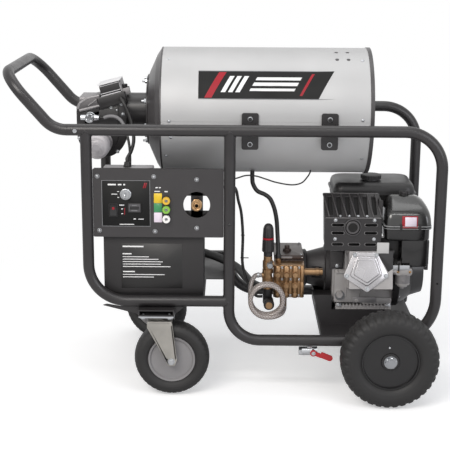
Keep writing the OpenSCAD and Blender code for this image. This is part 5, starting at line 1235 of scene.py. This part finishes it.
for side, name in ((-1, "near"), (1, "far")):
    hub = WHEEL * (1, side, 1)
    tyre_seat = np.array([(93.0, 0.0), (93.0, 20.0), (94.0, 36.0)])
    piece("rear_tyre_" + name,
          [tyre(np.concatenate([tyre_seat, tyre_profile]), lugs=36, depth=3.4, shoulder=137.0, tread=0.8,
                centre=hub, side=side, offset=0.25)], tyre_black, body="wheel_" + name,
          instead_of="rear_wheel_" + name, crease=50)
    out = (0, side, 0)
    rim_front = [(30, 95.6), (37, 97), (38.5, 95.5), (38.5, 92), (34, 90.5), (20, 88), (10, 84), (4, 74),
                 (2, 66), (2, 60), (8, 54), (14, 50), (20, 46), (24, 40), (26, 34), (34, 29), (34.5, 26),
                 (34.5, 12.3)]
    rim_back = [(-34.5, 12.3), (-34.5, 26), (-34, 29), (-26, 34), (-20, 46), (-12, 60), (-10, 84),
                (-20, 90), (-36, 92), (-38, 95), (-30, 96)]
    piece("rear_rim_" + name, [turned(rim_front, hub, out, 72), turned(rim_back, hub, out, 48)], rim_black,
          body="wheel_" + name, crease=25)
    stem = np.array([553.0 + side * 6.0, side * 400.0, 218.0])
    piece("rear_hub_" + name, [nut(hub + np.array([0, side * 36.4, 0]), out, 34, 9.6, 0.3),
                               turned([(34.4, 22), (36.2, 22), (36.6, 21), (36.6, 12)], hub, out, 40)],
          chrome_plate, body="wheel_" + name)
    piece("rear_valve_" + name,
          [turned([(-14, 5), (-6, 4.5), (0, 4), (8, 4), (9, 3.2), (9, 1)], stem, out, 20)], chrome_plate,
          body="wheel_" + name)


# ---- Casters ----
# Pressed zinc forks on ball swivels under zinc plates, with pneumatic tyres on grey stepped rims.
# The near one stands in line; the far one has swung by 150 degrees, as the photo shows.
# Zinc on pressed steel is a warm cloudy grey; the rims are plain silver lacquer
fork_zinc = coat("zinc_plated_pressing", "#a7a49e", 0.38, 3.0, 0.04, metal=0.75, drift=0.12)
rim_grey = coat("silver_grey_rim_lacquer", "#8b898a", 0.42, 2.0, 0.03)


def swung(part, place, degrees):
    """A part drawn about the swivel's axis, turned about it and carried to its place."""
    a = np.radians(degrees)
    p = np.asarray(part[0], float)
    q = np.stack([p[:, 0] * np.cos(a) - p[:, 1] * np.sin(a), p[:, 0] * np.sin(a) + p[:, 1] * np.cos(a),
                  p[:, 2]], -1)
    return (q + place,) + tuple(part[1:])


for name, side, degrees in (("near", -1, 0.0), ("far", 1, 150.0)):
    swivel = np.array([-225.0, side * 269.0, 0.0])
    leg = [(-32, 269), (52, 269), (55.6, 243), (68, 136), (61, 114), (37, 114), (30, 136), (-32, 250)]
    plates = []
    for k in (-1, 1):
        plates.append(prism(softened(leg, 5), *sorted((k * 49.2, k * 53.9)), 0.9, "y", 2))
        # flange rolled outwards along the leg's two long edges
        plates.append(prism(softened([(66, 138), (52.5, 258), (48, 258), (61.5, 138)], 1.2),
                            *sorted((k * 53, k * 53.9)), 0.4, "y", 2))
    plates.append(block((-32, 52), (-53.9, 53.9), (266.2, 271.8), 8, 0.9, "z"))
    plates.append(turned([(271.5, 31), (273, 31), (275, 29), (277.5, 29), (279.5, 31), (284, 31),
                          (286.2, 29), (286.2, 6)], (0, 0, 0), UP, 48))
    piece("caster_fork_pressing_" + name, [swung(p, swivel, degrees) for p in plates], fork_zinc,
          body="fork_" + name, instead_of="caster_fork_" + name)
    piece("caster_axle_" + name,
          [swung(nut((49, k * 54.0, 130), (0, k, 0), 19, 8), swivel, degrees)
           for k in (-1, 1)] + [swung(turned([(53.9, 12), (55.6, 12), (55.6, 5)], (49, 0, 130), (0, k, 0),
                                             28), swivel, degrees) for k in (-1, 1)], zinc_plate,
          body="fork_" + name)
    caster_profile = np.array([(78, 27), (82, 33), (88, 38.5), (97, 41.6), (105, 42), (112, 39), (118, 34),
                               (122.5, 27), (125.4, 18), (126.8, 9), (127.2, 0)])
    caster_seat = np.array([(75.0, 0.0), (75.0, 16.0), (76.0, 26.0)])
    tyre_part = tyre(np.concatenate([caster_seat, caster_profile]), lugs=40, depth=2.4, shoulder=112.0,
                     tread=0.9, centre=(49, 0, 130), side=1, offset=0.0)
    piece("caster_tyre_" + name, [swung(tyre_part, swivel, degrees)], tyre_black, body="caster_" + name,
          instead_of="caster_wheel_" + name, crease=50)
    disc = [(24, 78.6), (31, 80), (32, 78.5), (31, 74), (26, 71), (20, 68), (8, 62), (4.5, 58), (4, 48),
            (6, 40), (12, 30), (22, 24), (34, 20), (39.5, 17), (39.5, 6.5)]
    piece("caster_rim_" + name,
          [swung(turned(disc, (49, 0, 130), (0, k, 0), 64), swivel, degrees) for k in (-1, 1)], rim_grey,
          body="caster_" + name, crease=25)
    piece("caster_plate_bolts_" + name,
          [nut(swivel + np.array([dx, dy, 286.9]), (0, 0, -1), 17, 6) for dx in (-45, 45)
           for dy in (-45, 45)], zinc_plate)
